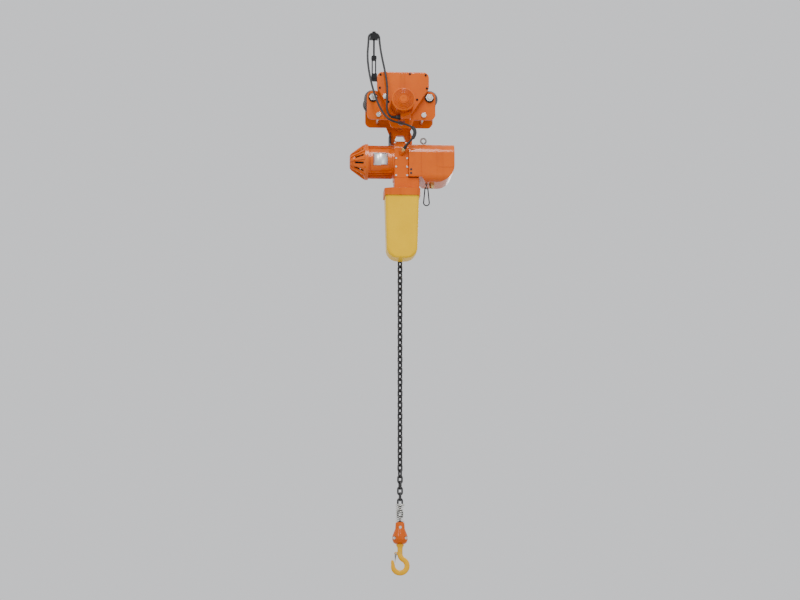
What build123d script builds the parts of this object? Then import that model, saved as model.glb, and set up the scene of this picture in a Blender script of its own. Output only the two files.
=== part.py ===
"""Electric chain hoist hanging from a motorised beam trolley.

Row frame, in millimetres: X runs along the beam, +Y is the rear, +Z is up.  The origin is on the
underside of the beam's lower flange, above the load chain.  Every node is written to parts/NODE.step.
"""

from build123d import *
import os
from math import acos, atan2, cos, degrees, hypot, pi, radians, sin, sqrt, tan

# ------------------------------------------------------------------ driving dimensions

# the beam that the trolley runs on
FLANGE_WIDTH = 120.0
FLANGE_THICK = 12.0

# trolley
TREAD_R = 40.0
AXLE_X = 150.0
AXLE_Z = FLANGE_THICK + TREAD_R
PLATE_IN = 86.0
PLATE_T = 10.0
PLATE_OUT = PLATE_IN + PLATE_T
PLATE_HALF = 182.0
PLATE_TOP = 88.0
PLATE_BOTTOM = -67.0
PLATE_R = 30.0
LOBE_HALF = 58.0
LOBE_BOTTOM = -113.0
SHAFT_Z = -80.0
SHAFT_R = 19.0
TIE_X = 120.0
TIE_Z = -42.0
TIE_R = 8.0
AXLE_R = 12.0
BEARING_R = 24.0
WASHER_T = 4.0
WHEEL_INNER = 34.0
WHEEL_MODULE = 2.5
WHEEL_TEETH = 35
CENTRE_TEETH = 85
DRIVE_MODULE = 1.5
DRIVE_TEETH = 56
DRIVE_PINION_TEETH = 13
DRIVE_BEARING_R = 20.0
DRIVE_SHAFT_R = 11.0
COVER_DEPTH = 36.0
COVER_HALF = 138.0
COVER_X = 8.0
COVER_LOW = 75.0
COVER_TOP = 185.0
COVER_WALL = 5.0
COVER_FRONT = PLATE_OUT + COVER_DEPTH
COVER_SCREWS = [(-112, 168), (44, 174), (128, 168), (-116, 96), (134, 96), (82, 34), (-70, 20)]
IDLE_NUT = (-86, 48)
TROLLEY_MOTOR_R = 60.0
TROLLEY_MOTOR_Z = AXLE_Z - DRIVE_MODULE * (DRIVE_TEETH + DRIVE_PINION_TEETH) / 2
TROLLEY_MOTOR_FIN = 7.0
TROLLEY_MOTOR_FINS = 30
TROLLEY_SHAFT_R = 8.0
MOTOR_FACE = -COVER_FRONT
TROLLEY_MOTOR_END = -262.0
TERMINAL_X = (-10.0, 44.0)
TERMINAL_GLAND = (TERMINAL_X[0], -178.0, TROLLEY_MOTOR_Z - 74)

# load chain
BAR = 10.0
PITCH = 30.0
LINK_WIDTH_IN = 13.0
LINK_SLACK = 0.3
POCKETS = 5
WRAP_HALF = 14.3
SHEAVE_MID = WRAP_HALF / tan(radians(180 / (2 * POCKETS)))
STANDING_RISE = 2.4
SLACK_SHIFT = 1.5
FALL_LINKS = 64
FIRST_FREE_LINK = 3
FIRST_LOWER_LINK = 61

# hoist body
MOTOR_Y = -SHEAVE_MID
MOTOR_Z = -288.0
SLACK_Y = -2 * SHEAVE_MID - SLACK_SHIFT
HOUSING_HALF = 38.0
HOUSING_WALL = 12.0
HOUSING_FRONT = -125.0
HOUSING_REAR = 35.0
HOUSING_TOP = MOTOR_Z + 85
HOUSING_BOTTOM = MOTOR_Z - 100
FRONT_SCREWS = [(-29, -284), (29, -284), (-29, -330), (29, -330), (-29, -376), (29, -376)]
GLAND_DIRECTION = (0.36, -0.78, 0.51)
GLAND_NOSE = 24.0
GLAND_SEAT = 17.0
SUPPLY_GLAND = (0.0, HOUSING_FRONT + 4, HOUSING_TOP - 52)
BASE_BOLTS = [(x, y) for x in (-30, 30) for y in (-38, 22)]
BASE_TOP = HOUSING_TOP + 18
BRACKET_TOP_R = 36.0
MOTOR_R = 87.0
MOTOR_END = -176.0
FAN_FLANGE_R = 96.0
FAN_END = -268.0
FAN_RIBS = 12
BOX_FRONT = -145.0
BOX_REAR = 78.0
BOX_TOP = -200.0
BOX_BOTTOM = -406.0
GEAR_CASE_BOTTOM = -384.0
GEAR_CASE_END = 98.0
BOX_END = 279.0
BOX_WALL = 4.0
BOX_CORNER = 88.0
PENDANT_X, PENDANT_Y = 164.0, -62.0
PENDANT_R, PENDANT_DEPTH = 6.0, 20.0
EYE_X, EYE_Y = 136.0, -62.0
LIFT_EYE_X = 122.0
STAGE_1 = (1.5, 11, 69)
STAGE_2 = (2.0, 11, 49)
LAY_Y = MOTOR_Y + STAGE_1[0] * (STAGE_1[1] + STAGE_1[2]) / 2

# chain bucket
BUCKET_HALF = 90.0
BUCKET_FRONT = -207.0
BUCKET_REAR = -56.0
BUCKET_TOP = -462.0
BUCKET_BOTTOM = -828.0
COLLAR_LOW = -497.0
BUCKET_CORNER = 56.0
BUCKET_WALL = 3.5
SHOULDER_Z = -438.0
NECK_RIGHT = 94.0
NECK_REAR = -63.0
NECK_FRONT = HOUSING_FRONT - 4
LEVER_Z = HOUSING_BOTTOM - 9
LEVER_PIVOT_Y = HOUSING_REAR - 3

# bottom block and hook
FIRST_LINK_Z = MOTOR_Z - WRAP_HALF - PITCH / 2
LAST_LINK_Z = FIRST_LINK_Z - PITCH * (FALL_LINKS - 1)
PIN_R = 5.0
PIN_Z = LAST_LINK_Z - PITCH / 2 + PIN_R
BLOCK_TOP = LAST_LINK_Z + 18
BLOCK_BOTTOM = BLOCK_TOP - 112
BLOCK_BOLT_X = 31.0
BLOCK_BOLT_Z = BLOCK_TOP - 83
NUT_LOW = BLOCK_BOTTOM + 30
BOWL_R = 23.0
HOOK_BAR = 13.5
HOOK_MID = BOWL_R + HOOK_BAR
BOWL_Z = BLOCK_BOTTOM - 114
SHANK_R = 12.0
SHANK_TOP = NUT_LOW + 16
TIP_RISE = 4.0
LATCH_X = -22.0
LATCH_Z = BOWL_Z + 64
LATCH_ANGLE = 5.0
LATCH_LENGTH = 47.0
SPRING_R = 21.0
SPRING_WIRE = 2.0
SPRING_TOP = BLOCK_TOP + 88

RUNNING = 0.05

# the cable between the hoist's gland and the trolley motor, over the tow arm's saddle
CABLE_R = 5.5
SADDLE = (-146.0, -108.0, 372.0)
SADDLE_R = 22.0


# ------------------------------------------------------------------ helpers


def block(x0, x1, y0, y1, z0, z1):
    return Pos((x0 + x1) / 2, (y0 + y1) / 2, (z0 + z1) / 2) * Box(
        abs(x1 - x0), abs(y1 - y0), abs(z1 - z0)
    )


def rod_x(radius, x0, x1, y=0.0, z=0.0):
    return Pos((x0 + x1) / 2, y, z) * Rot(0, 90, 0) * Cylinder(radius, abs(x1 - x0))


def rod_y(radius, y0, y1, x=0.0, z=0.0):
    return Pos(x, (y0 + y1) / 2, z) * Rot(90, 0, 0) * Cylinder(radius, abs(y1 - y0))


def rod_z(radius, z0, z1, x=0.0, y=0.0):
    return Pos(x, y, (z0 + z1) / 2) * Cylinder(radius, abs(z1 - z0))


def prism_y(face, y0, y1):
    """A sketch drawn with its x along X and its y along Z, pushed from y0 to y1."""
    stood = Rot(90, 0, 0) * face
    return Pos(0, max(y0, y1), 0) * extrude(stood, abs(y1 - y0), dir=(0, -1, 0))


def prism_x(face, x0, x1):
    """A sketch drawn with its x along Y and its y along Z, pushed from x0 to x1."""
    stood = Plane.YZ * face
    return Pos(min(x0, x1), 0, 0) * extrude(stood, abs(x1 - x0), dir=(1, 0, 0))


def turned(points):
    """A solid of revolution about Z whose half-section (radius, height) is closed by straight lines."""
    return revolve(make_face(Polyline([(r, 0, h) for r, h in points], close=True)), Axis.Z)


def turned_x(points, y, z):
    """A solid turned about a line along X: each point is (radius, x)."""
    return Pos(0, y, z) * Rot(0, 90, 0) * turned(points)


def turned_y(points, x, z):
    """A solid turned about a line along Y: each point is (radius, y)."""
    return Pos(x, 0, z) * Rot(-90, 0, 0) * turned(points)


def hex_prism(flats, height):
    return extrude(RegularPolygon(flats / sqrt(3), 6), height)


def hex_nut_y(flats, bore, y_face, out, thick, x, z):
    """A hexagon nut on a line along Y, standing on y_face and reaching towards out (+1 or -1)."""
    nut = hex_prism(flats, thick) - rod_z(bore, -1, thick + 1)
    return Pos(x, y_face, z) * Rot(-90 * out, 0, 0) * nut


def socket_screw(head_r, head_h, shank_r, shank_l):
    """Head from 0 up, with its key socket, and its shank from 0 down."""
    head = rod_z(head_r, 0, head_h) - Pos(0, 0, head_h * 0.45) * hex_prism(head_r, head_h)
    return head + rod_z(shank_r, -shank_l, 0)


def round_front_edges(shape, y, radius):
    """Rounds every edge that lies in the plane at y."""
    return fillet(shape.edges().filter_by_position(Axis.Y, y - 0.01, y + 0.01), radius)


def towards(direction):
    """Turns +Z to a direction."""
    x, y, z = direction
    return Rot(0, 0, degrees(atan2(y, x))) * Rot(0, degrees(acos(z / hypot(x, y, z))), 0)


def involute_gear(module, teeth, width, bore, phase=0.0):
    """A spur gear about Z from 0 to width, 25 degree pressure angle, thinned for backlash."""
    pressure = radians(25)
    pitch_r = module * teeth / 2
    base_r = pitch_r * cos(pressure)
    tip_r = pitch_r + 0.9 * module
    root_r = pitch_r - 1.15 * module
    half_at_pitch = pi / (2 * teeth) - 0.05 * pi / teeth
    involute_at_pitch = tan(pressure) - pressure

    def half_angle(radius):
        if radius <= base_r:
            return half_at_pitch + involute_at_pitch
        a = acos(base_r / radius)
        return half_at_pitch + involute_at_pitch - (tan(a) - a)

    steps = [root_r, max(base_r, root_r + 0.1), pitch_r, tip_r]
    points = []
    for tooth in range(teeth):
        centre = 2 * pi * tooth / teeth + radians(phase)
        for radius in steps:
            points.append((radius, centre - half_angle(radius)))
        for radius in reversed(steps):
            points.append((radius, centre + half_angle(radius)))
    outline = Polyline([(r * cos(a), r * sin(a)) for r, a in points], close=True)
    wheel = extrude(make_face(outline), width)
    return wheel - rod_z(bore, -1, width + 1) if bore else wheel


def gland(cable_r, bore_depth=0.0):
    """A cable gland standing on z = 0, with its thread below; its nose is at GLAND_NOSE."""
    body = hex_prism(24, 8) + rod_z(8.5, -10, 0)
    nut = turned([(0, 8), (12, 8), (12, 15), (cable_r + 3.5, GLAND_NOSE), (0, GLAND_NOSE)])
    whole = body + nut
    for k in range(12):
        whole -= Rot(0, 0, 30 * k) * block(11.2, 13, -0.8, 0.8, 8.5, 15)
    if bore_depth:
        whole -= rod_z(cable_r, GLAND_NOSE - bore_depth, GLAND_NOSE + 1)
    return whole


PARTS = {}


def keep(name, *shapes):
    solids = [s for shape in shapes for s in shape.solids()]
    PARTS[name] = solids


# ------------------------------------------------------------------ trolley frame


def plate_outline():
    main = Pos(0, (PLATE_TOP + PLATE_BOTTOM) / 2) * RectangleRounded(
        2 * PLATE_HALF, PLATE_TOP - PLATE_BOTTOM, PLATE_R
    )
    lobe = make_hull(
        [
            *(Pos(-LOBE_HALF + 22, LOBE_BOTTOM + 22) * Circle(22)).edges(),
            *(Pos(LOBE_HALF - 22, LOBE_BOTTOM + 22) * Circle(22)).edges(),
            *(Pos(0, 0) * Rectangle(2 * LOBE_HALF + 60, 40)).edges(),
        ]
    )
    return main + lobe


def side_plate(side):
    """side is -1 for the front plate and +1 for the rear one."""
    plate = prism_y(plate_outline(), side * PLATE_IN, side * PLATE_OUT)
    plate = round_front_edges(plate, side * PLATE_OUT, 1.5)
    for x, z, r in [
        (AXLE_X, AXLE_Z, AXLE_R),
        (-AXLE_X, AXLE_Z, AXLE_R),
        (0, SHAFT_Z, SHAFT_R),
        (TIE_X, TIE_Z, TIE_R),
        (-TIE_X, TIE_Z, TIE_R),
    ]:
        plate -= rod_y(r, -150, 150, x, z)
    if side < 0:
        plate -= rod_y(DRIVE_BEARING_R, -150, 0, 0, AXLE_Z)
    return plate


def trolley_frame():
    keep("trolley_front_plate", side_plate(-1))
    keep("trolley_rear_plate", side_plate(1))
    keep("trolley_load_shaft", rod_y(SHAFT_R, -PLATE_OUT, PLATE_OUT + 26, 0, SHAFT_Z))
    spacers = [
        rod_y(27, s * 33.5, s * 64, 0, SHAFT_Z)
        + rod_y(SHAFT_R + 2, s * 64, s * PLATE_IN, 0, SHAFT_Z)
        - rod_y(SHAFT_R, -90, 90, 0, SHAFT_Z)
        for s in (-1, 1)
    ]
    keep("load_shaft_spacers", *spacers)
    ties = [rod_y(TIE_R, -PLATE_OUT - 12, PLATE_OUT + 12, s * TIE_X, TIE_Z) for s in (-1, 1)]
    keep("trolley_tie_rods", *ties)
    nuts = [hex_nut_y(46, SHAFT_R, PLATE_OUT, 1, 20, 0, SHAFT_Z)]
    for out in (-1, 1):
        face = out * PLATE_OUT
        nuts += [hex_nut_y(24, TIE_R, face, out, 10, s * TIE_X, TIE_Z) for s in (-1, 1)]
        nuts += [
            hex_nut_y(36, AXLE_R, face + out * WASHER_T, out, 14, s * AXLE_X, AXLE_Z)
            for s in (-1, 1)
        ]
    return nuts


def wheel_axles():
    axles, washers, bearings = [], [], []
    for side in (-1, 1):
        for x in (-AXLE_X, AXLE_X):
            pin = rod_y(AXLE_R, side * (WHEEL_INNER + 6), side * (PLATE_OUT + 24), x, AXLE_Z)
            head = rod_y(AXLE_R + 4, side * WHEEL_INNER, side * (WHEEL_INNER + 6), x, AXLE_Z)
            collar = rod_y(AXLE_R + 4, side * 71, side * PLATE_IN, x, AXLE_Z)
            axles.append(chamfer(pin.edges().sort_by(Axis.Y)[-1 if side > 0 else 0], 2) + head + collar)
            ring = rod_y(24, side * PLATE_OUT, side * (PLATE_OUT + WASHER_T), x, AXLE_Z)
            washers.append(ring - rod_y(AXLE_R, -200, 200, x, AXLE_Z))
            seat = rod_y(BEARING_R, side * 44, side * 70, x, AXLE_Z)
            bearings.append(seat - rod_y(AXLE_R, -200, 200, x, AXLE_Z))
    keep("wheel_axles", *axles)
    return washers, bearings


def trolley_wheels():
    """Four flanged wheels; the front pair has a gear ring between its rim and the side plate."""
    bore = BEARING_R + RUNNING
    profile = [
        (bore, 42),
        (TREAD_R - 6, 36),
        (TREAD_R, 38),
        (TREAD_R, 61),
        (TREAD_R + 6, 61.5),
        (TREAD_R + 6, 68),
        (bore, 68),
    ]
    for side, row in ((-1, "front"), (1, "rear")):
        for x, end in ((-AXLE_X, "left"), (AXLE_X, "right")):
            wheel = turned_y([(r, side * y) for r, y in profile], x, AXLE_Z)
            if side < 0:
                # the centre gear shows a space to the left ring and a tooth to the right one
                phase = 0 if x < 0 else 180 + 180 / WHEEL_TEETH
                ring = involute_gear(WHEEL_MODULE, WHEEL_TEETH, 14, bore, phase)
                wheel += Pos(x, -68, AXLE_Z) * Rot(90, 0, 0) * ring
            keep(f"wheel_{row}_{end}", wheel)


def trolley_drive():
    """The centre gear between the two front wheels, its shaft and the reduction gear on it."""
    centre = involute_gear(WHEEL_MODULE, CENTRE_TEETH, 12, DRIVE_SHAFT_R)
    for k in range(6):
        centre -= Rot(0, 0, 60 * k) * rod_z(21, -1, 13, 62, 0)
    keep("trolley_centre_gear", Pos(0, -69, AXLE_Z) * Rot(90, 0, 0) * centre)
    # a tooth of the reduction gear points straight down, at the motor pinion
    reduction = involute_gear(DRIVE_MODULE, DRIVE_TEETH, 12, 0, 90)
    shaft = rod_y(DRIVE_SHAFT_R, -126, -66, 0, AXLE_Z)
    keep("trolley_drive_shaft", shaft + Pos(0, -104, AXLE_Z) * Rot(90, 0, 0) * reduction)
    seat = rod_y(DRIVE_BEARING_R, -PLATE_OUT, -PLATE_IN, 0, AXLE_Z)
    nose = rod_y(DRIVE_BEARING_R, -COVER_FRONT + COVER_WALL, -118, 0, AXLE_Z)
    bore = rod_y(DRIVE_SHAFT_R + RUNNING, -200, 0, 0, AXLE_Z)
    return [seat - bore, nose - bore]


def cover_outline(inset=0.0):
    top = Pos(COVER_X, (COVER_TOP + COVER_LOW) / 2) * RectangleRounded(
        2 * (COVER_HALF - inset), COVER_TOP - COVER_LOW - 2 * inset, 30 - inset
    )
    low = Pos(0, 12) * Circle(76 - inset)
    return make_hull([*top.edges(), *low.edges()])


def drive_cover():
    shell = prism_y(cover_outline(), -PLATE_OUT, -COVER_FRONT)
    shell = round_front_edges(shell, -COVER_FRONT, 6)
    shell -= prism_y(cover_outline(COVER_WALL), -PLATE_OUT + 1, -COVER_FRONT + COVER_WALL)
    boss = rod_y(DRIVE_BEARING_R + 6, -COVER_FRONT + 2, -118, 0, AXLE_Z)
    shell += boss - rod_y(DRIVE_BEARING_R, -COVER_FRONT + COVER_WALL, 0, 0, AXLE_Z)
    shell -= rod_y(11, -200, -100, 0, TROLLEY_MOTOR_Z)
    for x, z in COVER_SCREWS:
        pad = rod_y(9, -COVER_FRONT + 1, -PLATE_OUT, x, z)
        shell += pad & prism_y(cover_outline(), -PLATE_OUT, -COVER_FRONT)
        shell -= rod_y(3.2, -200, -50, x, z)
    keep("drive_cover", shell)
    screws = [
        Pos(x, -COVER_FRONT, z) * Rot(90, 0, 0) * socket_screw(5.5, 4, 3.1, COVER_DEPTH - 1)
        for x, z in COVER_SCREWS
    ]
    # the idle shaft's plain nut at the cover's left edge
    nut = hex_nut_y(26, 7, -COVER_FRONT, -1, 12, *IDLE_NUT)
    screws.append(nut + rod_y(6.9, -COVER_FRONT - 18, -COVER_FRONT, *IDLE_NUT))
    return screws


def trolley_motor():
    z = TROLLEY_MOTOR_Z
    shell = rod_y(TROLLEY_MOTOR_R - 5, TROLLEY_MOTOR_END, MOTOR_FACE, 0, z)
    shell += rod_y(TROLLEY_MOTOR_R + 6, MOTOR_FACE - 9, MOTOR_FACE, 0, z)
    root = TROLLEY_MOTOR_R - TROLLEY_MOTOR_FIN
    fin = block(root, TROLLEY_MOTOR_R, -1.3, 1.3, TROLLEY_MOTOR_END + 4, MOTOR_FACE - 12)
    for k in range(TROLLEY_MOTOR_FINS):
        shell += Pos(0, 0, z) * Rot(-90, 0, 0) * Rot(0, 0, 360 * (k + 0.5) / TROLLEY_MOTOR_FINS) * fin
    terminal = block(*TERMINAL_X, -205, -152, z - 88, z - 50)
    terminal = fillet(terminal.edges().filter_by(Axis.Y), 7)
    shell += terminal
    shell -= rod_y(TROLLEY_MOTOR_R - 10, TROLLEY_MOTOR_END - 1, MOTOR_FACE - 9, 0, z)
    shell -= rod_y(14, MOTOR_FACE - 10, MOTOR_FACE + 1, 0, z)
    keep("trolley_motor_housing", shell)
    cap_y = TROLLEY_MOTOR_END
    cap = turned_y(
        [
            (0, cap_y - 30),
            (36, cap_y - 30),
            (52, cap_y - 24),
            (TROLLEY_MOTOR_R + 1, cap_y - 10),
            (TROLLEY_MOTOR_R + 1, cap_y),
            (20, cap_y),
            (20, cap_y - 14),
            (0, cap_y - 14),
        ],
        0,
        z,
    )
    for k in range(8):
        cap -= Pos(0, 0, z) * Rot(0, 45 * k, 0) * block(26, 44, cap_y - 40, cap_y - 25.5, -2.5, 2.5)
    cap -= rod_y(14, cap_y - 8, cap_y + 1, 0, z)
    keep("trolley_motor_end_cap", cap)
    ring = rod_y(TROLLEY_MOTOR_R - 10, -246, -158, 0, z) - rod_y(33, -300, 0, 0, z)
    keep("trolley_motor_stator", ring)
    core = rod_y(32, -240, -164, 0, z) + rod_y(TROLLEY_SHAFT_R, -258, -103, 0, z)
    # a tooth space of the pinion faces the reduction gear above it
    pinion = involute_gear(DRIVE_MODULE, DRIVE_PINION_TEETH, 14, 0, 90 + 180 / DRIVE_PINION_TEETH)
    core += Pos(0, -103, z) * Rot(90, 0, 0) * pinion
    keep("trolley_rotor", core)
    bore = rod_y(TROLLEY_SHAFT_R + RUNNING, -300, 0, 0, z)
    return [rod_y(14, y, y + 8, 0, z) - bore for y in (MOTOR_FACE - 9, cap_y - 8)]


def tow_arm():
    """A bar on the cover's left side carries a forked link and a rod up to the cable saddle."""
    x, y, top = SADDLE
    lug = block(x - 14, COVER_X - COVER_HALF, y - 11, y + 11, 138, 178)
    lug = fillet(lug.edges().filter_by(Axis.Y).group_by(Axis.X)[0], 12)
    arm = lug + rod_y(10, y - 13, y + 13, x, 158)
    for s in (-1, 1):
        arm += rod_z(3.5, 160, 262, x + 9 * s, y)
    arm += fillet((block(x - 14, x + 14, y - 9, y + 9, 250, 276)).edges().filter_by(Axis.Y), 8)
    arm += rod_z(5, 270, top - 7, x, y)
    keep("tow_arm", arm)
    saddle = rod_y(SADDLE_R, y - 15, y + 15, x, top)
    saddle -= Pos(x, y, top) * Rot(90, 0, 0) * Torus(SADDLE_R + CABLE_R, CABLE_R + 0.9)
    saddle &= block(x - 40, x + 40, y - 40, y + 40, top - 7, top + 40)
    strap = rod_y(SADDLE_R + 2 * CABLE_R + 4, y - 7, y + 7, x, top)
    strap -= rod_y(SADDLE_R - 4, y - 20, y + 20, x, top)
    strap -= Pos(x, y, top) * Rot(90, 0, 0) * Torus(SADDLE_R + CABLE_R, CABLE_R + 0.9)
    strap &= block(x - 9, x + 9, y - 20, y + 20, top + 5, top + 60)
    keep("cable_saddle", saddle + strap)


# ------------------------------------------------------------------ chain


def link(half_length):
    """One link lying in the XZ plane, its long way along Z; half_length is its bar's centreline."""
    r = (LINK_WIDTH_IN + BAR) / 2
    s = half_length - r
    path = Wire(
        [
            Edge.make_line((r, 0, -s), (r, 0, s)),
            Edge.make_three_point_arc((r, 0, s), (0, 0, s + r), (-r, 0, s)),
            Edge.make_line((-r, 0, s), (-r, 0, -s)),
            Edge.make_three_point_arc((-r, 0, -s), (0, 0, -s - r), (r, 0, -s)),
        ]
    )
    section = Plane(origin=(r, 0, -s), z_dir=(0, 0, 1)) * Circle(BAR / 2)
    return sweep(section, path)


LINK = link((PITCH + LINK_SLACK + BAR) / 2)


def fall_z(k):
    """Height of link k of the load fall; link 0 is the one level with the sheave."""
    return MOTOR_Z if k == 0 else FIRST_LINK_Z - PITCH * (k - 1)


def fall_turn(k):
    """A free chain hangs with a slow twist: none at the guide and at the block, 45 degrees between."""

    def ease(t):
        t = min(1.0, max(0.0, t))
        return t * t * (3 - 2 * t)

    twist = 45 * ease((k - FIRST_FREE_LINK) / 12) * ease((FALL_LINKS - 2 - k) / 12)
    return 90 * (k % 2) + twist


def fall_links(first, last):
    return [Pos(0, 0, fall_z(k)) * Rot(0, 0, fall_turn(k)) * LINK for k in range(first, last + 1)]


def stored_links():
    """Links above the guide, over the sheave, down the slack side and laid in the bucket."""
    links = fall_links(0, FIRST_FREE_LINK - 1)
    for side in range(1, POCKETS + 1):
        turn = -36 * side
        at = Pos(0, MOTOR_Y, MOTOR_Z) * Rot(-turn, 0, 0) * Pos(0, SHEAVE_MID, 0)
        outward = STANDING_RISE if side % 2 else 0
        links.append(at * Pos(0, outward, 0) * Rot(0, 0, 90 * (side % 2)) * LINK)
    for k in range(1, 11):
        turn = 90 * ((k + 1) % 2)
        links.append(Pos(0, SLACK_Y, FIRST_LINK_Z - PITCH * (k - 1)) * Rot(0, 0, turn) * LINK)
    for layer, per_row in enumerate((3, 4, 4, 4)):
        for row in range(3):
            y = BUCKET_REAR - 34 - 41 * row
            z = BUCKET_BOTTOM + 30 + 37 * layer
            for n in range(per_row):
                x = (n - (per_row - 1) / 2) * PITCH + (4 if row % 2 else -4)
                links.append(Pos(x, y, z) * Rot(0, 90, 0) * Rot(0, 0, 45 + 90 * (n % 2)) * LINK)
    return links


def chain():
    keep("stored_chain", *stored_links())
    keep("load_chain", *fall_links(FIRST_FREE_LINK, FIRST_LOWER_LINK - 1))
    keep("lower_chain", *fall_links(FIRST_LOWER_LINK, FALL_LINKS))


def load_sheave():
    """Five flat-link pockets round a groove for the standing links, on a hollow shaft."""
    wheel = rod_x(54, -23, 23)
    wheel -= rod_x(70, -6.7, 6.7) - rod_x(27, -10, 10)
    for k in range(POCKETS):
        pocket = block(-18, 18, SHEAVE_MID - 5.6, 80, -28.6, 28.6)
        wheel -= Rot(72 * k, 0, 0) * pocket
        for s in (-1, 1):
            relief = block(-13, 13, SHEAVE_MID - 5.6, 80, s * 3.8, s * 26)
            wheel -= Rot(72 * k + 36, 0, 0) * relief
    wheel += rod_x(18, -HOUSING_HALF, 62)
    wheel -= rod_x(11.5, -100, 100)
    keep("load_sheave", Pos(0, MOTOR_Y, MOTOR_Z) * wheel)


# ------------------------------------------------------------------ hoist body

def section_yz(y0, y1, z0, z1, front_top, front_bottom, rear):
    """A rounded outline in the YZ plane, with its own radius at each front corner."""
    return make_hull(
        [
            *(Pos(y0 + front_top, z1 - front_top) * Circle(front_top)).edges(),
            *(Pos(y0 + front_bottom, z0 + front_bottom) * Circle(front_bottom)).edges(),
            *(Pos(y1 - rear, z1 - rear) * Circle(rear)).edges(),
            *(Pos(y1 - rear, z0 + rear) * Circle(rear)).edges(),
        ]
    )


def centre_housing():
    outline = section_yz(HOUSING_FRONT, HOUSING_REAR, HOUSING_BOTTOM, HOUSING_TOP, 26, 10, 26)
    body = prism_x(outline, -HOUSING_HALF, HOUSING_HALF)
    inside = HOUSING_HALF - HOUSING_WALL
    body -= rod_x(69, -inside, inside, MOTOR_Y, MOTOR_Z)
    body -= block(-inside, inside, HOUSING_FRONT + 9, HOUSING_REAR - 10, HOUSING_BOTTOM - 1, MOTOR_Z)
    body -= rod_x(28, -100, 100, MOTOR_Y, MOTOR_Z)
    body -= rod_x(14, HOUSING_HALF - 8, 100, LAY_Y, MOTOR_Z)
    panel = block(-35, 35, HOUSING_FRONT - 5, HOUSING_FRONT + 2, HOUSING_BOTTOM, -274)
    body += fillet(panel.edges().filter_by(Axis.Y), 5)
    for x, z in FRONT_SCREWS:
        body -= rod_y(3.2, HOUSING_FRONT - 6, HOUSING_FRONT + 7, x, z)
    seat = Pos(*SUPPLY_GLAND) * towards(GLAND_DIRECTION)
    body += (seat * rod_z(15, -12, GLAND_SEAT)) - rod_x(69, -60, 60, MOTOR_Y, MOTOR_Z)
    body -= seat * rod_z(8.5, GLAND_SEAT - 8, GLAND_SEAT + 1)
    for x, y in BASE_BOLTS:
        body -= rod_z(5, HOUSING_TOP - 16, HOUSING_TOP + 1, x, y)
    keep("centre_housing", body)


def chain_guide():
    inside = HOUSING_HALF - HOUSING_WALL
    top = MOTOR_Z - 62
    guide = block(-inside, inside, HOUSING_FRONT + 9, HOUSING_REAR - 10, HOUSING_BOTTOM, top)
    for y in (0.0, SLACK_Y):
        guide -= block(-19, 19, y - 7.5, y + 7.5, -450, -300)
        guide -= block(-7.5, 7.5, y - 19, y + 19, -450, -300)
    guide -= rod_x(60, -60, 60, MOTOR_Y, MOTOR_Z)
    keep("chain_guide", guide)


def hoist_motor():
    y, z = MOTOR_Y, MOTOR_Z
    shell = rod_x(MOTOR_R - 5, MOTOR_END, -HOUSING_HALF, y, z)
    shell += turned_x(
        [
            (0, -HOUSING_HALF - 12),
            (MOTOR_R - 5, -HOUSING_HALF - 12),
            (MOTOR_R - 1, -HOUSING_HALF - 10),
            (MOTOR_R - 1, -HOUSING_HALF),
            (0, -HOUSING_HALF),
        ],
        y,
        z,
    )
    shell += rod_x(FAN_FLANGE_R, MOTOR_END - 8, MOTOR_END + 2, y, z)
    fin_low, fin_high = -HOUSING_HALF - 10, MOTOR_END
    for k in range(36):
        angle = 10 * k
        # the front of the shell is a plain band for the rating plate
        if abs(angle % 360 - 180) > 180 - 48:
            continue
        fin = block(fin_high, fin_low, -(MOTOR_R + 1), -(MOTOR_R - 8), -1.6, 1.6)
        shell += Pos(0, y, z) * Rot(angle, 0, 0) * fin
    band = rod_x(MOTOR_R - 2, MOTOR_END + 14, -HOUSING_HALF - 24, y, z)
    band &= block(-200, 0, -200, y - (MOTOR_R - 5) * cos(radians(40)), -400, -100)
    shell += band
    shell -= rod_x(MOTOR_R - 13, MOTOR_END, -HOUSING_HALF - 10, y, z)
    shell -= rod_x(20, MOTOR_END - 20, 0, y, z)
    keep("motor_housing", shell)

    stator = rod_x(MOTOR_R - 13, -150, -64, y, z) - rod_x(49, -200, 0, y, z)
    windings = [
        rod_x(70, a, b, y, z) - rod_x(52, -200, 0, y, z) for a, b in ((-166, -150), (-64, -52))
    ]
    keep("motor_stator", stator + windings[0] + windings[1])

    core = rod_x(48, -148, -66, y, z)
    shaft = rod_x(12, -250, -42, y, z) + rod_x(9, -42, 66, y, z)
    # a tooth space of the pinion faces the layshaft gear behind it
    pinion = involute_gear(STAGE_1[0], STAGE_1[1], 14, 0)
    shaft += Pos(66, y, z) * Rot(0, 90, 90) * Rot(0, 0, 180 / STAGE_1[1]) * pinion
    keep("motor_rotor", shaft + core)

    coil = rod_x(60, -202, MOTOR_END - 8, y, z) - rod_x(26, -300, 0, y, z)
    coil -= (rod_x(52, -203, -192, y, z) - rod_x(36, -300, 0, y, z))
    coil += rod_x(51.5, -200, -192, y, z) - rod_x(36.5, -300, 0, y, z)
    keep("brake_coil", coil)
    disc = rod_x(58, -209, -203, y, z) + rod_x(20, -216, -203, y, z) - rod_x(12, -300, 0, y, z)
    keep("brake_disc", disc)

    fan = rod_x(22, -242, -218, y, z) + rod_x(60, -221, -218, y, z)
    outline = Polyline([(-219, 18), (-219, 58), (-240, 38), (-240, 18)], close=True)
    blade = Pos(0, 0, -1.5) * extrude(make_face(outline), 3)
    for k in range(9):
        fan += Pos(0, y, z) * Rot(40 * k, 0, 0) * blade
    keep("cooling_fan", fan - rod_x(12, -300, 0, y, z))


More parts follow.
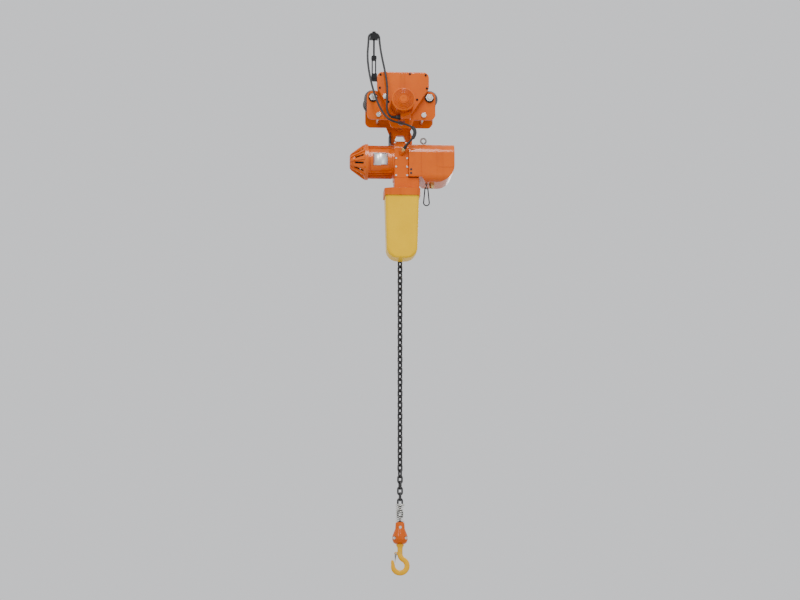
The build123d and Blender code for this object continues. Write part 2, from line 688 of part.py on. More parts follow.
def fan_cover():
    """A blunt ribbed cone over the fan, slotted between its ribs."""
    y, z = MOTOR_Y, MOTOR_Z
    start = MOTOR_END - 8
    outer = [(FAN_FLANGE_R, start), (FAN_FLANGE_R, start - 7), (88, start - 12), (38, FAN_END + 6)]
    nose = [(32, FAN_END), (0, FAN_END), (0, FAN_END + 4), (28, FAN_END + 4)]
    inner = [(34, FAN_END + 10), (83, start - 13), (90, start - 8), (90, start)]
    shell = turned_x(outer + nose + inner, y, z)
    for k in range(FAN_RIBS):
        spin = Pos(0, y, z) * Rot(360 / FAN_RIBS * k, 0, 0)
        rib = make_face(
            Polyline(
                [
                    (start - 7, 86),
                    (start - 11, 94),
                    (start - 24, 86),
                    (FAN_END + 4, 44),
                    (FAN_END - 2, 34),
                    (FAN_END - 2, 12),
                    (FAN_END + 2, 12),
                    (FAN_END + 8, 36),
                ],
                close=True,
            )
        )
        shell += spin * Pos(0, 4.5, 0) * extrude(Rot(90, 0, 0) * rib, 9)
    for k in range(FAN_RIBS):
        spin = Pos(0, y, z) * Rot(360 / FAN_RIBS * (k + 0.5), 0, 0)
        window = block(FAN_END + 10, start - 16, -5, 5, 46, 100)
        shell -= spin * window
    keep("fan_cover", shell)


def box_profile(inset=0.0):
    """Front view of the gear case and control box: flat top, one deep rounded lower end."""
    low_left = GEAR_CASE_BOTTOM + inset
    top, low, end = BOX_TOP - inset, BOX_BOTTOM + inset, BOX_END - inset
    r = BOX_CORNER - inset
    pts = [
        Edge.make_line((HOUSING_HALF, top), (end - 10, top)),
        Edge.make_three_point_arc((end - 10, top), (end - 10 + 7.07, top - 2.93), (end, top - 10)),
        Edge.make_line((end, top - 10), (end, low + r)),
        Edge.make_three_point_arc(
            (end, low + r), (end - r + r * cos(pi / 4), low + r - r * sin(pi / 4)), (end - r, low)
        ),
        Edge.make_line((end - r, low), (124, low)),
        Edge.make_line((124, low), (106, low_left)),
        Edge.make_line((106, low_left), (HOUSING_HALF, low_left)),
        Edge.make_line((HOUSING_HALF, low_left), (HOUSING_HALF, top)),
    ]
    return make_face(Wire(pts))


def box_solid(x0, x1, inset=0.0):
    """The part of the gear case and box outline between x0 and x1, all walls moved in by inset."""
    front = prism_y(box_profile(inset), BOX_FRONT - 5, BOX_REAR + 5)
    across = section_yz(
        BOX_FRONT + inset, BOX_REAR - inset, BOX_BOTTOM + inset, BOX_TOP - inset,
        58 - inset, 34 - inset, 24 - inset,
    )
    return front & prism_x(across, HOUSING_HALF, BOX_END) & block(x0, x1, -300, 300, -500, 0)


def gear_case():
    case = box_solid(HOUSING_HALF, GEAR_CASE_END)
    hollow = box_solid(HOUSING_HALF, GEAR_CASE_END, 7) & block(44, 88, -300, 300, -500, 0)
    case -= hollow
    case -= rod_x(30, 0, 46, MOTOR_Y, MOTOR_Z)
    for x0, x1 in ((HOUSING_HALF - 1, 45), (87, 94)):
        case -= rod_x(14, x0, x1, LAY_Y, MOTOR_Z)
    keep("gear_case", case)


def control_box():
    cover = box_solid(GEAR_CASE_END, BOX_END)
    cover -= box_solid(GEAR_CASE_END - 1, BOX_END - BOX_WALL, BOX_WALL)
    groove = box_solid(GEAR_CASE_END + 5, GEAR_CASE_END + 8) - box_solid(
        GEAR_CASE_END + 4, GEAR_CASE_END + 9, 1.2
    )
    cover -= groove
    rib = box_solid(196, BOX_END + 1, -1.5) - box_solid(190, BOX_END + 1, 0)
    cover += rib & block(196, 277, -300, -60, -331, -325)
    cover -= rod_z(8.5, BOX_BOTTOM - 1, BOX_BOTTOM + 20, PENDANT_X, PENDANT_Y)
    cover -= rod_z(4, BOX_BOTTOM - 1, BOX_BOTTOM + 20, EYE_X, EYE_Y)
    cover -= rod_z(5, BOX_TOP - 20, BOX_TOP + 1, LIFT_EYE_X, MOTOR_Y)
    keep("control_box_cover", cover)

    panel = block(101, 104, -116, 56, -370, -226)
    parts = [panel]
    for row, z in enumerate((-262, -322)):
        for y in (-92, -40, 12):
            unit = block(104, 154, y - 20, y + 20, z - 24, z + 24)
            unit += block(154, 164, y - 12, y + 12, z - 15, z + 15)
            parts.append(unit)
    core = block(172, 232, -70, -10, -300, -240) - block(180, 224, -80, 0, -284, -256)
    parts.append(core + block(164, 172, -70, -10, -300, -240))
    keep("electrical_panel", *parts)


def hoist_bearings():
    y, z = MOTOR_Y, MOTOR_Z
    inside = HOUSING_HALF - HOUSING_WALL
    rings = []
    for x0, x1, outer, inner, at in (
        (-HOUSING_HALF + 1, -inside, 28, 18, y),
        (inside, HOUSING_HALF, 28, 18, y),
        (MOTOR_END - 8, MOTOR_END, 20, 12, y),
        (-HOUSING_HALF - 10, -HOUSING_HALF - 1, 20, 12, y),
        (HOUSING_HALF - 8, 43, 14, 8, LAY_Y),
        (88, 94, 14, 8, LAY_Y),
    ):
        rings.append(rod_x(outer, x0, x1, at, z) - rod_x(inner + RUNNING, x0 - 1, x1 + 1, at, z))
    keep("hoist_bearings", *rings)


def hoist_gears():
    """Two stages: rotor pinion to layshaft gear, layshaft pinion back to the sheave's output gear."""
    y, z = MOTOR_Y, MOTOR_Z
    lie = Rot(0, 90, 90)
    big = involute_gear(STAGE_1[0], STAGE_1[2], 12, 0, 180)
    small = involute_gear(STAGE_2[0], STAGE_2[1], 20, 0, 180 + 180 / STAGE_2[1])
    for k in range(6):
        big -= Rot(0, 0, 60 * k) * rod_z(11, -1, 14, 31, 0)
    lay = Pos(67, LAY_Y, z) * lie * big
    lay += Pos(44.5, LAY_Y, z) * lie * small
    lay += rod_x(8, HOUSING_HALF - 7, 93, LAY_Y, z)
    keep("layshaft", lay)
    output = involute_gear(STAGE_2[0], STAGE_2[2], 14, 18)
    keep("output_gear", Pos(46, y, z) * lie * output)


def suspension_bracket():
    """An eye on the load shaft, a spreading web and a base bolted to the housing's top."""
    web = web_outline()
    window = Pos(0, -150) * Trapezoid(62, 32, 66)
    body = prism_y(web - fillet(window.vertices(), 6), -15, 15)
    body += rod_y(BRACKET_TOP_R, -33, 33, 0, SHAFT_Z)
    cheek = make_face(
        Polyline([(-20, -112), (20, -112), (32, -135), (32, -200), (-54, -200), (-54, -165)], close=True)
    )
    cheeks = [Pos(x, 0, 0) * extrude(Plane.YZ * cheek, 9, dir=(1, 0, 0)) for x in (-61, 52)]
    body += (cheeks[0] + cheeks[1]) & prism_y(web, -60, 60)
    base = block(-HOUSING_HALF, HOUSING_HALF, -56, HOUSING_REAR - 1, HOUSING_TOP, BASE_TOP)
    body += fillet(base.edges().filter_by(Axis.Z), 10)
    body -= rod_y(SHAFT_R + RUNNING, -60, 60, 0, SHAFT_Z)
    for x, y in BASE_BOLTS:
        body -= rod_z(5.5, HOUSING_TOP - 1, BASE_TOP + 1, x, y)
        body -= rod_z(9.5, BASE_TOP, BASE_TOP + 16, x, y)
    keep("suspension_bracket", body)


def web_outline():
    return make_hull(
        [
            *(Pos(0, SHAFT_Z) * Circle(BRACKET_TOP_R)).edges(),
            *(Pos(0, (BASE_TOP - 140) / 2) * Rectangle(122, -138 - BASE_TOP)).edges(),
        ]
    )


def hoist_screws():
    screws = [Pos(x, y, BASE_TOP) * socket_screw(8, 8, 5, 29) for x, y in BASE_BOLTS]
    screws += [
        Pos(x, HOUSING_FRONT - 5, z) * Rot(90, 0, 0) * socket_screw(5, 4, 3.2, 11)
        for x, z in FRONT_SCREWS
    ]
    keep("hoist_screws", *screws)


def glands():
    seat = Pos(*SUPPLY_GLAND) * towards(GLAND_DIRECTION)
    trolley = Pos(*TERMINAL_GLAND) * towards((-1, 0, 0))
    supply = seat * Pos(0, 0, GLAND_SEAT) * (gland(CABLE_R) - rod_z(20, -11, -8))
    keep("trolley_gland", trolley * (gland(CABLE_R) - rod_z(20, -11, 0)))
    pendant = Pos(PENDANT_X, PENDANT_Y, BOX_BOTTOM) * towards((0, 0, -1))
    keep("hoist_glands", supply, pendant * gland(PENDANT_R, PENDANT_DEPTH))


def pendant_hook():
    """The snap hook that takes the strain of a pendant cable, hanging in an eye under the box."""
    eye_z = BOX_BOTTOM - 18
    eye = Pos(EYE_X, EYE_Y, eye_z) * Rot(0, 90, 0) * Torus(9, 3)
    eye += rod_z(4, eye_z + 9, BOX_BOTTOM + 12, EYE_X, EYE_Y)
    eye += rod_z(7, BOX_BOTTOM - 4, BOX_BOTTOM, EYE_X, EYE_Y)
    lift = Pos(LIFT_EYE_X, MOTOR_Y, BOX_TOP + 31) * Rot(90, 0, 0) * Torus(14, 4.5)
    lift += rod_z(5, BOX_TOP - 3, BOX_TOP + 17, LIFT_EYE_X, MOTOR_Y)
    lift += rod_z(12, BOX_TOP, BOX_TOP + 5, LIFT_EYE_X, MOTOR_Y)
    keep("box_eyes", eye, lift)
    r, wire = 15.0, 3.2
    top_r = 8.0
    z_top = eye_z - 10.5
    z_low = eye_z - 84
    rise = (r - top_r) / (z_top - z_low)
    side = sqrt(1 - rise**2)

    def on(radius, height, sign):
        return (sign * radius * side, 0, height + radius * rise)

    path = Wire(
        [
            Edge.make_line(on(top_r, z_top, 1), on(r, z_low, 1)),
            Edge.make_three_point_arc(on(r, z_low, 1), (0, 0, z_low - r), on(r, z_low, -1)),
            Edge.make_line(on(r, z_low, -1), on(top_r, z_top, -1)),
            Edge.make_three_point_arc(on(top_r, z_top, -1), (0, 0, z_top + top_r), on(top_r, z_top, 1)),
        ]
    )
    section = Plane(origin=path @ 0, z_dir=path % 0) * Circle(wire)
    ring = sweep(section, path)
    keep("pendant_hook", Pos(EYE_X, EYE_Y, 0) * ring)


# ------------------------------------------------------------------ bucket and limit lever


def rounded_box(x, y0, y1, z, r):
    return Pos(0, (y0 + y1) / 2, z) * RectangleRounded(2 * x, y1 - y0, r)


def bucket_solid(inset=0.0):
    """The bucket's outline moved in by inset: it tapers down to two deep rounded corners."""
    top_half, top_front, top_rear = BUCKET_HALF - inset, BUCKET_FRONT + inset, BUCKET_REAR - inset
    low_half, low_front, low_rear = top_half - 11, top_front + 12, top_rear - 4
    body = loft(
        [
            rounded_box(top_half, top_front, top_rear, BUCKET_TOP, 22 - inset),
            rounded_box(low_half, low_front, low_rear, BUCKET_BOTTOM, 22 - inset),
        ]
    )
    corner = BUCKET_CORNER - inset
    corners = [
        Pos(x, BUCKET_BOTTOM + inset + corner) * Circle(corner)
        for x in (corner - low_half, low_half - corner)
    ]
    outline = make_hull(
        [
            *(Pos(0, BUCKET_TOP - 1) * Rectangle(2 * BUCKET_HALF + 20, 4)).edges(),
            *corners[0].edges(),
            *corners[1].edges(),
        ]
    )
    return body & prism_y(outline, BUCKET_FRONT - 5, BUCKET_REAR + 5)


def bucket_nodes():
    keep("chain_bucket", bucket_solid() - bucket_solid(BUCKET_WALL))
    g = 0.4
    shoulder = loft([neck_box(0, SHOULDER_Z), neck_box(1, BUCKET_TOP + 2)])
    shoulder -= loft([neck_box(0, SHOULDER_Z, 5), neck_box(1, BUCKET_TOP + 2, 7)])
    neck = extrude(neck_box(0, SHOULDER_Z), HOUSING_BOTTOM - SHOULDER_Z)
    neck += block(
        HOUSING_HALF + 2, NECK_RIGHT - 8, NECK_FRONT + 8, NECK_REAR - 2, HOUSING_BOTTOM - 1, GEAR_CASE_BOTTOM
    )
    neck -= extrude(neck_box(0, SHOULDER_Z, 5), 200)
    height = BUCKET_TOP + 2 - COLLAR_LOW
    skirt = extrude(neck_box(1, COLLAR_LOW), height)
    skirt -= extrude(rounded_box(BUCKET_HALF + g, BUCKET_FRONT - g, BUCKET_REAR + g, COLLAR_LOW, 22), height)
    keep("bucket_collar", neck + shoulder + skirt)


def neck_box(share, z, inset=0.0):
    """The collar's section at height z: the neck under the housing (0) or the bucket's rim (1)."""
    left = (1 - share) * -HOUSING_HALF - share * (BUCKET_HALF + 5) + inset
    right = (1 - share) * NECK_RIGHT + share * (BUCKET_HALF + 5) - inset
    front = (1 - share) * NECK_FRONT + share * (BUCKET_FRONT - 5) + inset
    rear = (1 - share) * NECK_REAR + share * (BUCKET_REAR + 5) - inset
    corner = max(8 + 18 * share - inset, 2)
    outline = RectangleRounded(right - left, rear - front, corner)
    return Pos((left + right) / 2, (front + rear) / 2, z) * outline


def limit_lever():
    """A plate round the load fall that the hook block lifts to stop the motor."""
    plate = block(-26, 26, -24, LEVER_PIVOT_Y, LEVER_Z - 2.5, LEVER_Z + 2.5)
    plate = fillet(plate.edges().filter_by(Axis.Z).group_by(Axis.Y)[0], 10)
    plate += rod_x(5, -26, 26, LEVER_PIVOT_Y, LEVER_Z)
    plate -= rod_z(19.5, -450, -380)
    plate -= rod_x(3 + RUNNING, -40, 40, LEVER_PIVOT_Y, LEVER_Z)
    keep("limit_lever", plate)
    carrier = rod_x(3, -34, 34, LEVER_PIVOT_Y, LEVER_Z)
    for s in (-1, 1):
        ear = block(s * 28, s * 34, LEVER_PIVOT_Y - 8, LEVER_PIVOT_Y + 2.5, LEVER_Z - 6, HOUSING_BOTTOM)
        carrier += ear
    keep("lever_pivot", carrier)


# ------------------------------------------------------------------ bottom block and hook


def block_profile():
    """Half-section of the bottom block: a bell that widens to the hook's bearing."""
    return [
        (0, BLOCK_TOP),
        (19, BLOCK_TOP),
        (23, BLOCK_TOP - 4),
        (25, BLOCK_TOP - 34),
        (36, BLOCK_TOP - 62),
        (40, BLOCK_TOP - 74),
        (40, BLOCK_TOP - 92),
        (34, BLOCK_TOP - 106),
        (26, BLOCK_BOTTOM),
        (0, BLOCK_BOTTOM),
    ]


def hook_block():
    bell = turned(block_profile())
    bell -= block(-19, 19, -7.2, 7.2, LAST_LINK_Z - 27, BLOCK_TOP + 1)
    bell -= block(-7.2, 7.2, -19, 19, LAST_LINK_Z, BLOCK_TOP + 1)
    bell -= rod_z(22.5, NUT_LOW - 9, NUT_LOW + 19)
    bell -= rod_z(SHANK_R + RUNNING, BLOCK_BOTTOM - 1, NUT_LOW)
    bell -= rod_y(PIN_R, -60, 60, 0, PIN_Z)
    for s in (-1, 1):
        bell -= rod_y(4, -60, 60, s * BLOCK_BOLT_X, BLOCK_BOLT_Z)
        for out in (-1, 1):
            bell -= rod_y(8.5, out * 12, out * 50, s * BLOCK_BOLT_X, BLOCK_BOLT_Z)
    bell -= rod_y(8, 19, 50, 0, PIN_Z) + rod_y(8, -50, -19, 0, PIN_Z)
    keep("hook_block_front", bell & block(-60, 60, -60, 0, -3000, 0))
    keep("hook_block_rear", bell & block(-60, 60, 0, 60, -3000, 0))
    pin = rod_y(PIN_R, -22, 22, 0, PIN_Z) + rod_y(7.5, -24, -19, 0, PIN_Z) + rod_y(7.5, 19, 24, 0, PIN_Z)
    bolts = [pin]
    for s in (-1, 1):
        bolt = Pos(s * BLOCK_BOLT_X, -12, BLOCK_BOLT_Z) * Rot(90, 0, 0) * socket_screw(7.5, 8, 4, 24)
        bolt += hex_nut_y(12, 1, 12, 1, 7, s * BLOCK_BOLT_X, BLOCK_BOLT_Z)
        bolt += rod_y(2, 12, 18, s * BLOCK_BOLT_X, BLOCK_BOLT_Z)
        bolts.append(bolt)
    keep("block_bolts", *bolts)

    turns = 8
    height = SPRING_TOP - BLOCK_TOP - 2 * SPRING_WIRE
    coil_path = Helix(pitch=height / turns, height=height, radius=SPRING_R)
    section = Plane(origin=coil_path @ 0, z_dir=coil_path % 0) * Circle(SPRING_WIRE)
    coil = Pos(0, 0, BLOCK_TOP + SPRING_WIRE) * sweep(section, coil_path, is_frenet=True)
    washer = rod_z(SPRING_R + 3, SPRING_TOP, SPRING_TOP + 5) - rod_z(19, SPRING_TOP - 1, SPRING_TOP + 9)
    keep("limit_spring", coil, washer)


def load_hook():
    """A round-bar hook: shank, offset bend, three-quarter bowl and a rising tip."""
    zc = BOWL_Z
    z0 = zc + 62
    r1 = (62**2 - HOOK_MID**2) / (2 * HOOK_MID)
    phi = atan2(62, r1)
    joint = (HOOK_MID * cos(phi), zc + HOOK_MID * sin(phi))

    def p(x, z):
        return Vector(x, 0, z)

    middle = phi / 2
    bend = Edge.make_three_point_arc(
        p(0, z0), p(r1 * (1 - cos(middle)), z0 - r1 * sin(middle)), p(*joint)
    )
    low = (phi - pi) / 2
    bowl = Edge.make_three_point_arc(
        p(*joint), p(HOOK_MID * cos(low), zc + HOOK_MID * sin(low)), p(-HOOK_MID, zc)
    )
    tip_at = p(-HOOK_MID, zc + TIP_RISE)
    path = Wire([bend, bowl, Edge.make_line(p(-HOOK_MID, zc), tip_at)])
    section = Plane(origin=(0, 0, z0), z_dir=(0, 0, -1)) * Circle(HOOK_BAR)
    hook = sweep(section, path)
    hook += Pos(-HOOK_MID, 0, zc + TIP_RISE) * Rot(0, -10, 0) * (
        Pos(0, 0, 11) * Cone(HOOK_BAR, 7, 22) + Pos(0, 0, 22) * Sphere(7)
    )
    hook += rod_z(HOOK_BAR, z0, BLOCK_BOTTOM - 10)
    hook += rod_z(20, BLOCK_BOTTOM - 9, BLOCK_BOTTOM - 0.6)
    hook += Pos(0, 0, BLOCK_BOTTOM - 14.5) * Cone(HOOK_BAR, 20, 11)
    hook += rod_z(SHANK_R, BLOCK_BOTTOM - 10, SHANK_TOP)
    ear = block(LATCH_X, 0, -4.5, 4.5, LATCH_Z - 8, LATCH_Z + 8)
    ear += rod_y(8, -4.5, 4.5, LATCH_X, LATCH_Z)
    hook += ear
    hook -= rod_y(3, -20, 20, LATCH_X, LATCH_Z)
    keep("load_hook", hook)
    keep("latch_pin", rod_y(3 - RUNNING, -11, 11, LATCH_X, LATCH_Z))
    nut = Pos(0, 0, NUT_LOW + RUNNING) * (hex_prism(34, 15) - rod_z(SHANK_R, -1, 16))
    keep("hook_nut", nut)
    race = rod_z(22, NUT_LOW - 9, NUT_LOW) - rod_z(SHANK_R + RUNNING, NUT_LOW - 10, NUT_LOW + 1)
    keep("hook_thrust_bearing", race)


def safety_latch():
    """A folded sheet latch that closes from the neck down on to the inner side of the tip."""
    blade = block(-1.5, 1.5, -8, 8, -LATCH_LENGTH, -12)
    for s in (-1, 1):
        blade += block(-4.5, 4.5, s * 5, s * 8, -14, 0) + rod_y(4.5, s * 5, s * 8)
    blade -= rod_y(3, -30, 30)
    keep("safety_latch", Pos(LATCH_X, 0, LATCH_Z) * Rot(0, LATCH_ANGLE, 0) * blade)


# ------------------------------------------------------------------ cable


def cable_points():
    """The cable's corner points, from the hoist's gland over the saddle to the trolley motor."""
    dx, dy, dz = GLAND_DIRECTION
    size = hypot(dx, dy, dz)
    nose = [a + (GLAND_SEAT + GLAND_NOSE) * d / size for a, d in zip(SUPPLY_GLAND, (dx, dy, dz))]
    lead = [a + 32 * d / size for a, d in zip(nose, (dx, dy, dz))]
    sx, sy, sz = SADDLE
    r = SADDLE_R + CABLE_R
    gx, gy, gz = TERMINAL_GLAND
    return [
        tuple(nose),
        tuple(lead),
        (62.0, -196.0, -184.0),
        (68.0, -202.0, -146.0),
        (34.0, -198.0, -120.0),
        (-22.0, -188.0, -106.0),
        (-72.0, -178.0, -88.0),
        (-110.0, -166.0, -36.0),
        (-138.0, -158.0, 32.0),
        (-160.0, -150.0, 108.0),
        (-176.0, -138.0, 194.0),
        (-182.0, -120.0, 276.0),
        (sx - r - 2, sy, sz - 26),
        (sx - r, sy, sz + r),
        (sx + r, sy, sz + r),
        (sx + r + 3, sy, sz - 30),
        (-104.0, -126.0, 262.0),
        (-88.0, -150.0, 176.0),
        (-78.0, -160.0, 104.0),
        (-78.0, -168.0, 48.0),
        (-80.0, -173.0, 0.0),
        (-82.0, -176.5, -30.0),
        (-72.0, gy, -60.0),
        (-54.0, gy, gz),
        (gx - GLAND_NOSE, gy, gz),
    ]


def cable():
    points = [Vector(*p) for p in cable_points()]
    radii = []
    for before, at, after in zip(points, points[1:], points[2:]):
        turn = radians((at - before).get_angle(after - at))
        runs = min((at - before).length, (after - at).length)
        radii.append(0.45 * runs / tan(turn / 2))
    path = FilletPolyline(*points, radius=radii)
    section = Plane(origin=path @ 0, z_dir=path % 0) * Circle(CABLE_R)
    print("cable length", round(path.length), "tightest bend", round(min(radii)))
    keep("trolley_cable", sweep(section, path))


# ------------------------------------------------------------------ build

nuts = trolley_frame()
washers, wheel_bearings = wheel_axles()
trolley_wheels()
drive_bearings = trolley_drive()
cover_screws = drive_cover()
motor_bearings = trolley_motor()
keep("trolley_fasteners", *nuts, *washers, *cover_screws)
keep("trolley_bearings", *wheel_bearings, *drive_bearings, *motor_bearings)
tow_arm()
chain()
load_sheave()
centre_housing()
chain_guide()
hoist_motor()
fan_cover()
gear_case()
control_box()
hoist_bearings()
hoist_gears()
suspension_bracket()
hoist_screws()
glands()
pendant_hook()
bucket_nodes()
limit_lever()
hook_block()
load_hook()
safety_latch()
cable()

os.makedirs("parts", exist_ok=True)
for old in os.listdir("parts"):
    os.remove(os.path.join("parts", old))
for name, solids in PARTS.items():
    shape = solids[0] if len(solids) == 1 else Compound(children=solids)
    export_step(shape, f"parts/{name}.step")
print(len(PARTS), "nodes")
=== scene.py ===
"""Looks of the electric chain hoist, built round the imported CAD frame.  Metres, in the CAD's own frame."""

import math

import bmesh
import bpy
from mathutils import Matrix, Vector


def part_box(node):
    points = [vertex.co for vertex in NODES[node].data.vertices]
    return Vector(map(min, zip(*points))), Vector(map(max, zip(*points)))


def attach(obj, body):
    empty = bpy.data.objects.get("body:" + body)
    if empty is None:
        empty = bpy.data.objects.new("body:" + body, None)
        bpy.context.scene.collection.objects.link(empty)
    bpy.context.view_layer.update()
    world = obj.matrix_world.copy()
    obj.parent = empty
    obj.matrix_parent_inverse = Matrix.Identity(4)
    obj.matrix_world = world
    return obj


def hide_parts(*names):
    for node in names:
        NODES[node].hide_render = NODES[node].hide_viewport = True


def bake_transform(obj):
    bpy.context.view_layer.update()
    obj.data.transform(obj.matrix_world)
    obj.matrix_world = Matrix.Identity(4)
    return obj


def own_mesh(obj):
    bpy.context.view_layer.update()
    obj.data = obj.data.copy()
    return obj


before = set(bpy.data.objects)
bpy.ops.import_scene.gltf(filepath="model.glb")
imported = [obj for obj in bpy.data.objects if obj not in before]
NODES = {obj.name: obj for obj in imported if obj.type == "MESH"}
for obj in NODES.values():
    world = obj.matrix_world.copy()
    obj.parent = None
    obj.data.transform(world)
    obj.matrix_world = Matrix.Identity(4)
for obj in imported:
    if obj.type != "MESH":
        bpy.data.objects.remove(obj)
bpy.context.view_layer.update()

# ------------------------------------------------------------------ places, worked out from the frame


def low(node, axis):
    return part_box(node)[0][axis]


def high(node, axis):
    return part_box(node)[1][axis]


def middle(node, axis):
    return (low(node, axis) + high(node, axis)) / 2


X, Y, Z = 0, 1, 2

# half the hook's bar where it is thickest, and the radius of the bowl's centre line
HOOK_BAR = 0.0135
HOOK_MID = 0.0365
BOWL_Z = low("load_hook", Z) + HOOK_BAR + HOOK_MID
BLOCK_BOTTOM = low("hook_block_front", Z)
LATCH_X, LATCH_Z = middle("latch_pin", X), middle("latch_pin", Z)
LATCH_ANGLE = 5.0

# the front wheels' axles stand this far in from the ends of the node's box
AXLE_R = 0.016
AXLE_X = high("wheel_axles", X) - AXLE_R
AXLE_Z = middle("wheel_axles", Z)
IDLE_NUT_X, IDLE_NUT_Z = -0.086, 0.048

# ------------------------------------------------------------------ materials

BEVEL_SAMPLES = 4
# near black: black-oxide steel, and painted shade on the bracket's left cheek and the axle washers
BLACK_OXIDE_AND_SHADE = (0.022, 0.022, 0.024)
DUST = (0.30, 0.25, 0.19)
RUBBED_IRON = (0.42, 0.41, 0.40)
ORANGE = (0.74, 0.132, 0.0)
ORANGE_SHADE = (0.62, 0.098, 0.0)
PRIMER = (0.16, 0.14, 0.13)


class Graph:
    """A material's node tree, with short calls for adding and linking nodes."""

    def __init__(self, name):
        self.material = bpy.data.materials.new(name)
        self.material.use_nodes = True
        self.nodes = self.material.node_tree.nodes
        self.links = self.material.node_tree.links
        self.shader = self.nodes["Principled BSDF"]
        self.place = self.add("ShaderNodeTexCoord").outputs["Object"]

    def add(self, kind, settings=None, **inputs):
        node = self.nodes.new(kind)
        for key, value in (settings or {}).items():
            setattr(node, key, value)
        for key, value in inputs.items():
            self.put(node, key.replace("_", " "), value)
        return node

    def put(self, node, socket, value):
        """Links a socket, by its name or its number, or gives it a value."""
        target = node.inputs[socket]
        if hasattr(value, "is_linked"):
            self.links.new(value, target)
        elif isinstance(value, (tuple, list)) and len(value) == 3 and target.type == "RGBA":
            target.default_value = (*value, 1.0)
        else:
            target.default_value = value

    def set(self, socket, value):
        self.put(self.shader, socket, value)

    def noise(self, scale, detail=4.0, rough=0.55, place=None):
        node = self.add("ShaderNodeTexNoise", Scale=scale, Detail=detail, Roughness=rough)
        self.links.new(place or self.place, node.inputs["Vector"])
        return node.outputs["Fac"]

    def ramp(self, value, start, end, dark=0.0, light=1.0):
        """The value's stretch from start to end, spread from dark to light."""
        node = self.add("ShaderNodeMapRange", {"clamp": True})
        for socket, number in (("From Min", start), ("From Max", end), ("To Min", dark), ("To Max", light)):
            node.inputs[socket].default_value = number
        self.links.new(value, node.inputs["Value"])
        return node.outputs["Result"]

    def math(self, operation, a, b=None):
        node = self.add("ShaderNodeMath", {"operation": operation})
        self.put(node, 0, a)
        if b is not None:
            self.put(node, 1, b)
        return node.outputs["Value"]

    def mix(self, share, a, b):
        """Colour a where the share is 0, and b where it is 1."""
        node = self.add("ShaderNodeMix", {"data_type": "RGBA"})
        for socket, value in ((0, share), (6, a), (7, b)):
            self.put(node, socket, value)
        return node.outputs[2]

    def within(self, axis, start, end, fold=False):
        """1 where the place along an axis, or its size when folded, lies between start and end."""
        split = self.add("ShaderNodeSeparateXYZ")
        self.links.new(self.place, split.inputs[0])
        place = split.outputs[axis]
        if fold:
            place = self.math("ABSOLUTE", place)
        above = self.math("GREATER_THAN", place, start)
        below = self.math("LESS_THAN", place, end)
        return self.math("MULTIPLY", above, below)

    def stretched(self, scale):
        """The place, scaled by a different amount along each axis."""
        node = self.add("ShaderNodeMapping")
        self.links.new(self.place, node.inputs["Vector"])
        node.inputs["Scale"].default_value = scale
        return node.outputs["Vector"]

    def edges(self, radius):
        """1 along sharp edges and 0 on flat stretches."""
        soft = self.add("ShaderNodeBevel", {"samples": BEVEL_SAMPLES}, Radius=radius).outputs["Normal"]
        true = self.add("ShaderNodeNewGeometry").outputs["True Normal"]
        dot = self.add("ShaderNodeVectorMath", {"operation": "DOT_PRODUCT"})
        self.links.new(soft, dot.inputs[0])
        self.links.new(true, dot.inputs[1])
        return self.ramp(dot.outputs["Value"], 0.99, 0.86)

    def upward(self):
        """1 where the surface faces up."""
        split = self.add("ShaderNodeSeparateXYZ")
        self.links.new(self.add("ShaderNodeNewGeometry").outputs["Normal"], split.inputs[0])
        return self.ramp(split.outputs["Z"], 0.35, 0.95)

    def finish(self, bump, strength, distance, bevel=0.0):
        """The material, with fine relief on its surface and its edges softened."""
        relief = self.add("ShaderNodeBump", Strength=strength, Distance=distance, Height=bump)
        if bevel:
            soft = self.add("ShaderNodeBevel", {"samples": BEVEL_SAMPLES}, Radius=bevel)
            self.links.new(soft.outputs["Normal"], relief.inputs["Normal"])
        self.links.new(relief.outputs["Normal"], self.shader.inputs["Normal"])
        return self.material


def paint(
    name, colour, shade, under, rough=0.32, grain=420.0, relief=0.12, wear=0.62, coat=0.3, painted_shade_side=None
):
    """Gloss enamel: drifting shade, orange peel, chips along the edges, dust on what faces up."""
    g = Graph(name)
    drift = g.ramp(g.noise(7.0, 3.0), 0.3, 0.7)
    run = g.ramp(g.noise(1.0, 5.0, place=g.stretched((26.0, 26.0, 2.2))), 0.56, 0.75, 0.0, 0.35)
    body = g.mix(drift, colour, shade)
    body = g.mix(run, body, tuple(c * 0.62 for c in shade))
    # painted shade: the side that the mask picks is painted near black
    if painted_shade_side:
        body = g.mix(painted_shade_side(g), body, BLACK_OXIDE_AND_SHADE)
    dust = g.math("MULTIPLY", g.upward(), g.ramp(g.noise(38.0, 6.0), 0.42, 0.72, 0.03, 0.25))
    body = g.mix(dust, body, DUST)
    scratch = g.ramp(g.noise(210.0, 8.0, 0.7), wear, wear + 0.03)
    chips = g.math("MULTIPLY", g.edges(0.003), scratch)
    g.set("Base Color", g.mix(chips, body, under))
    worn = g.ramp(g.noise(60.0, 6.0), 0.35, 0.75, rough * 0.8, rough * 1.45)
    matt = g.math("MAXIMUM", worn, g.math("MULTIPLY", dust, 1.6))
    g.set("Roughness", g.math("ADD", matt, g.math("MULTIPLY", chips, 0.25)))
    g.set("Specular IOR Level", 0.1)
    g.set("Coat Weight", coat)
    g.set("Coat Roughness", 0.12)
    peel = g.math("SUBTRACT", g.noise(grain, 2.0), g.math("MULTIPLY", chips, 0.8))
    return g.finish(peel, relief, 0.0008, 0.0012)


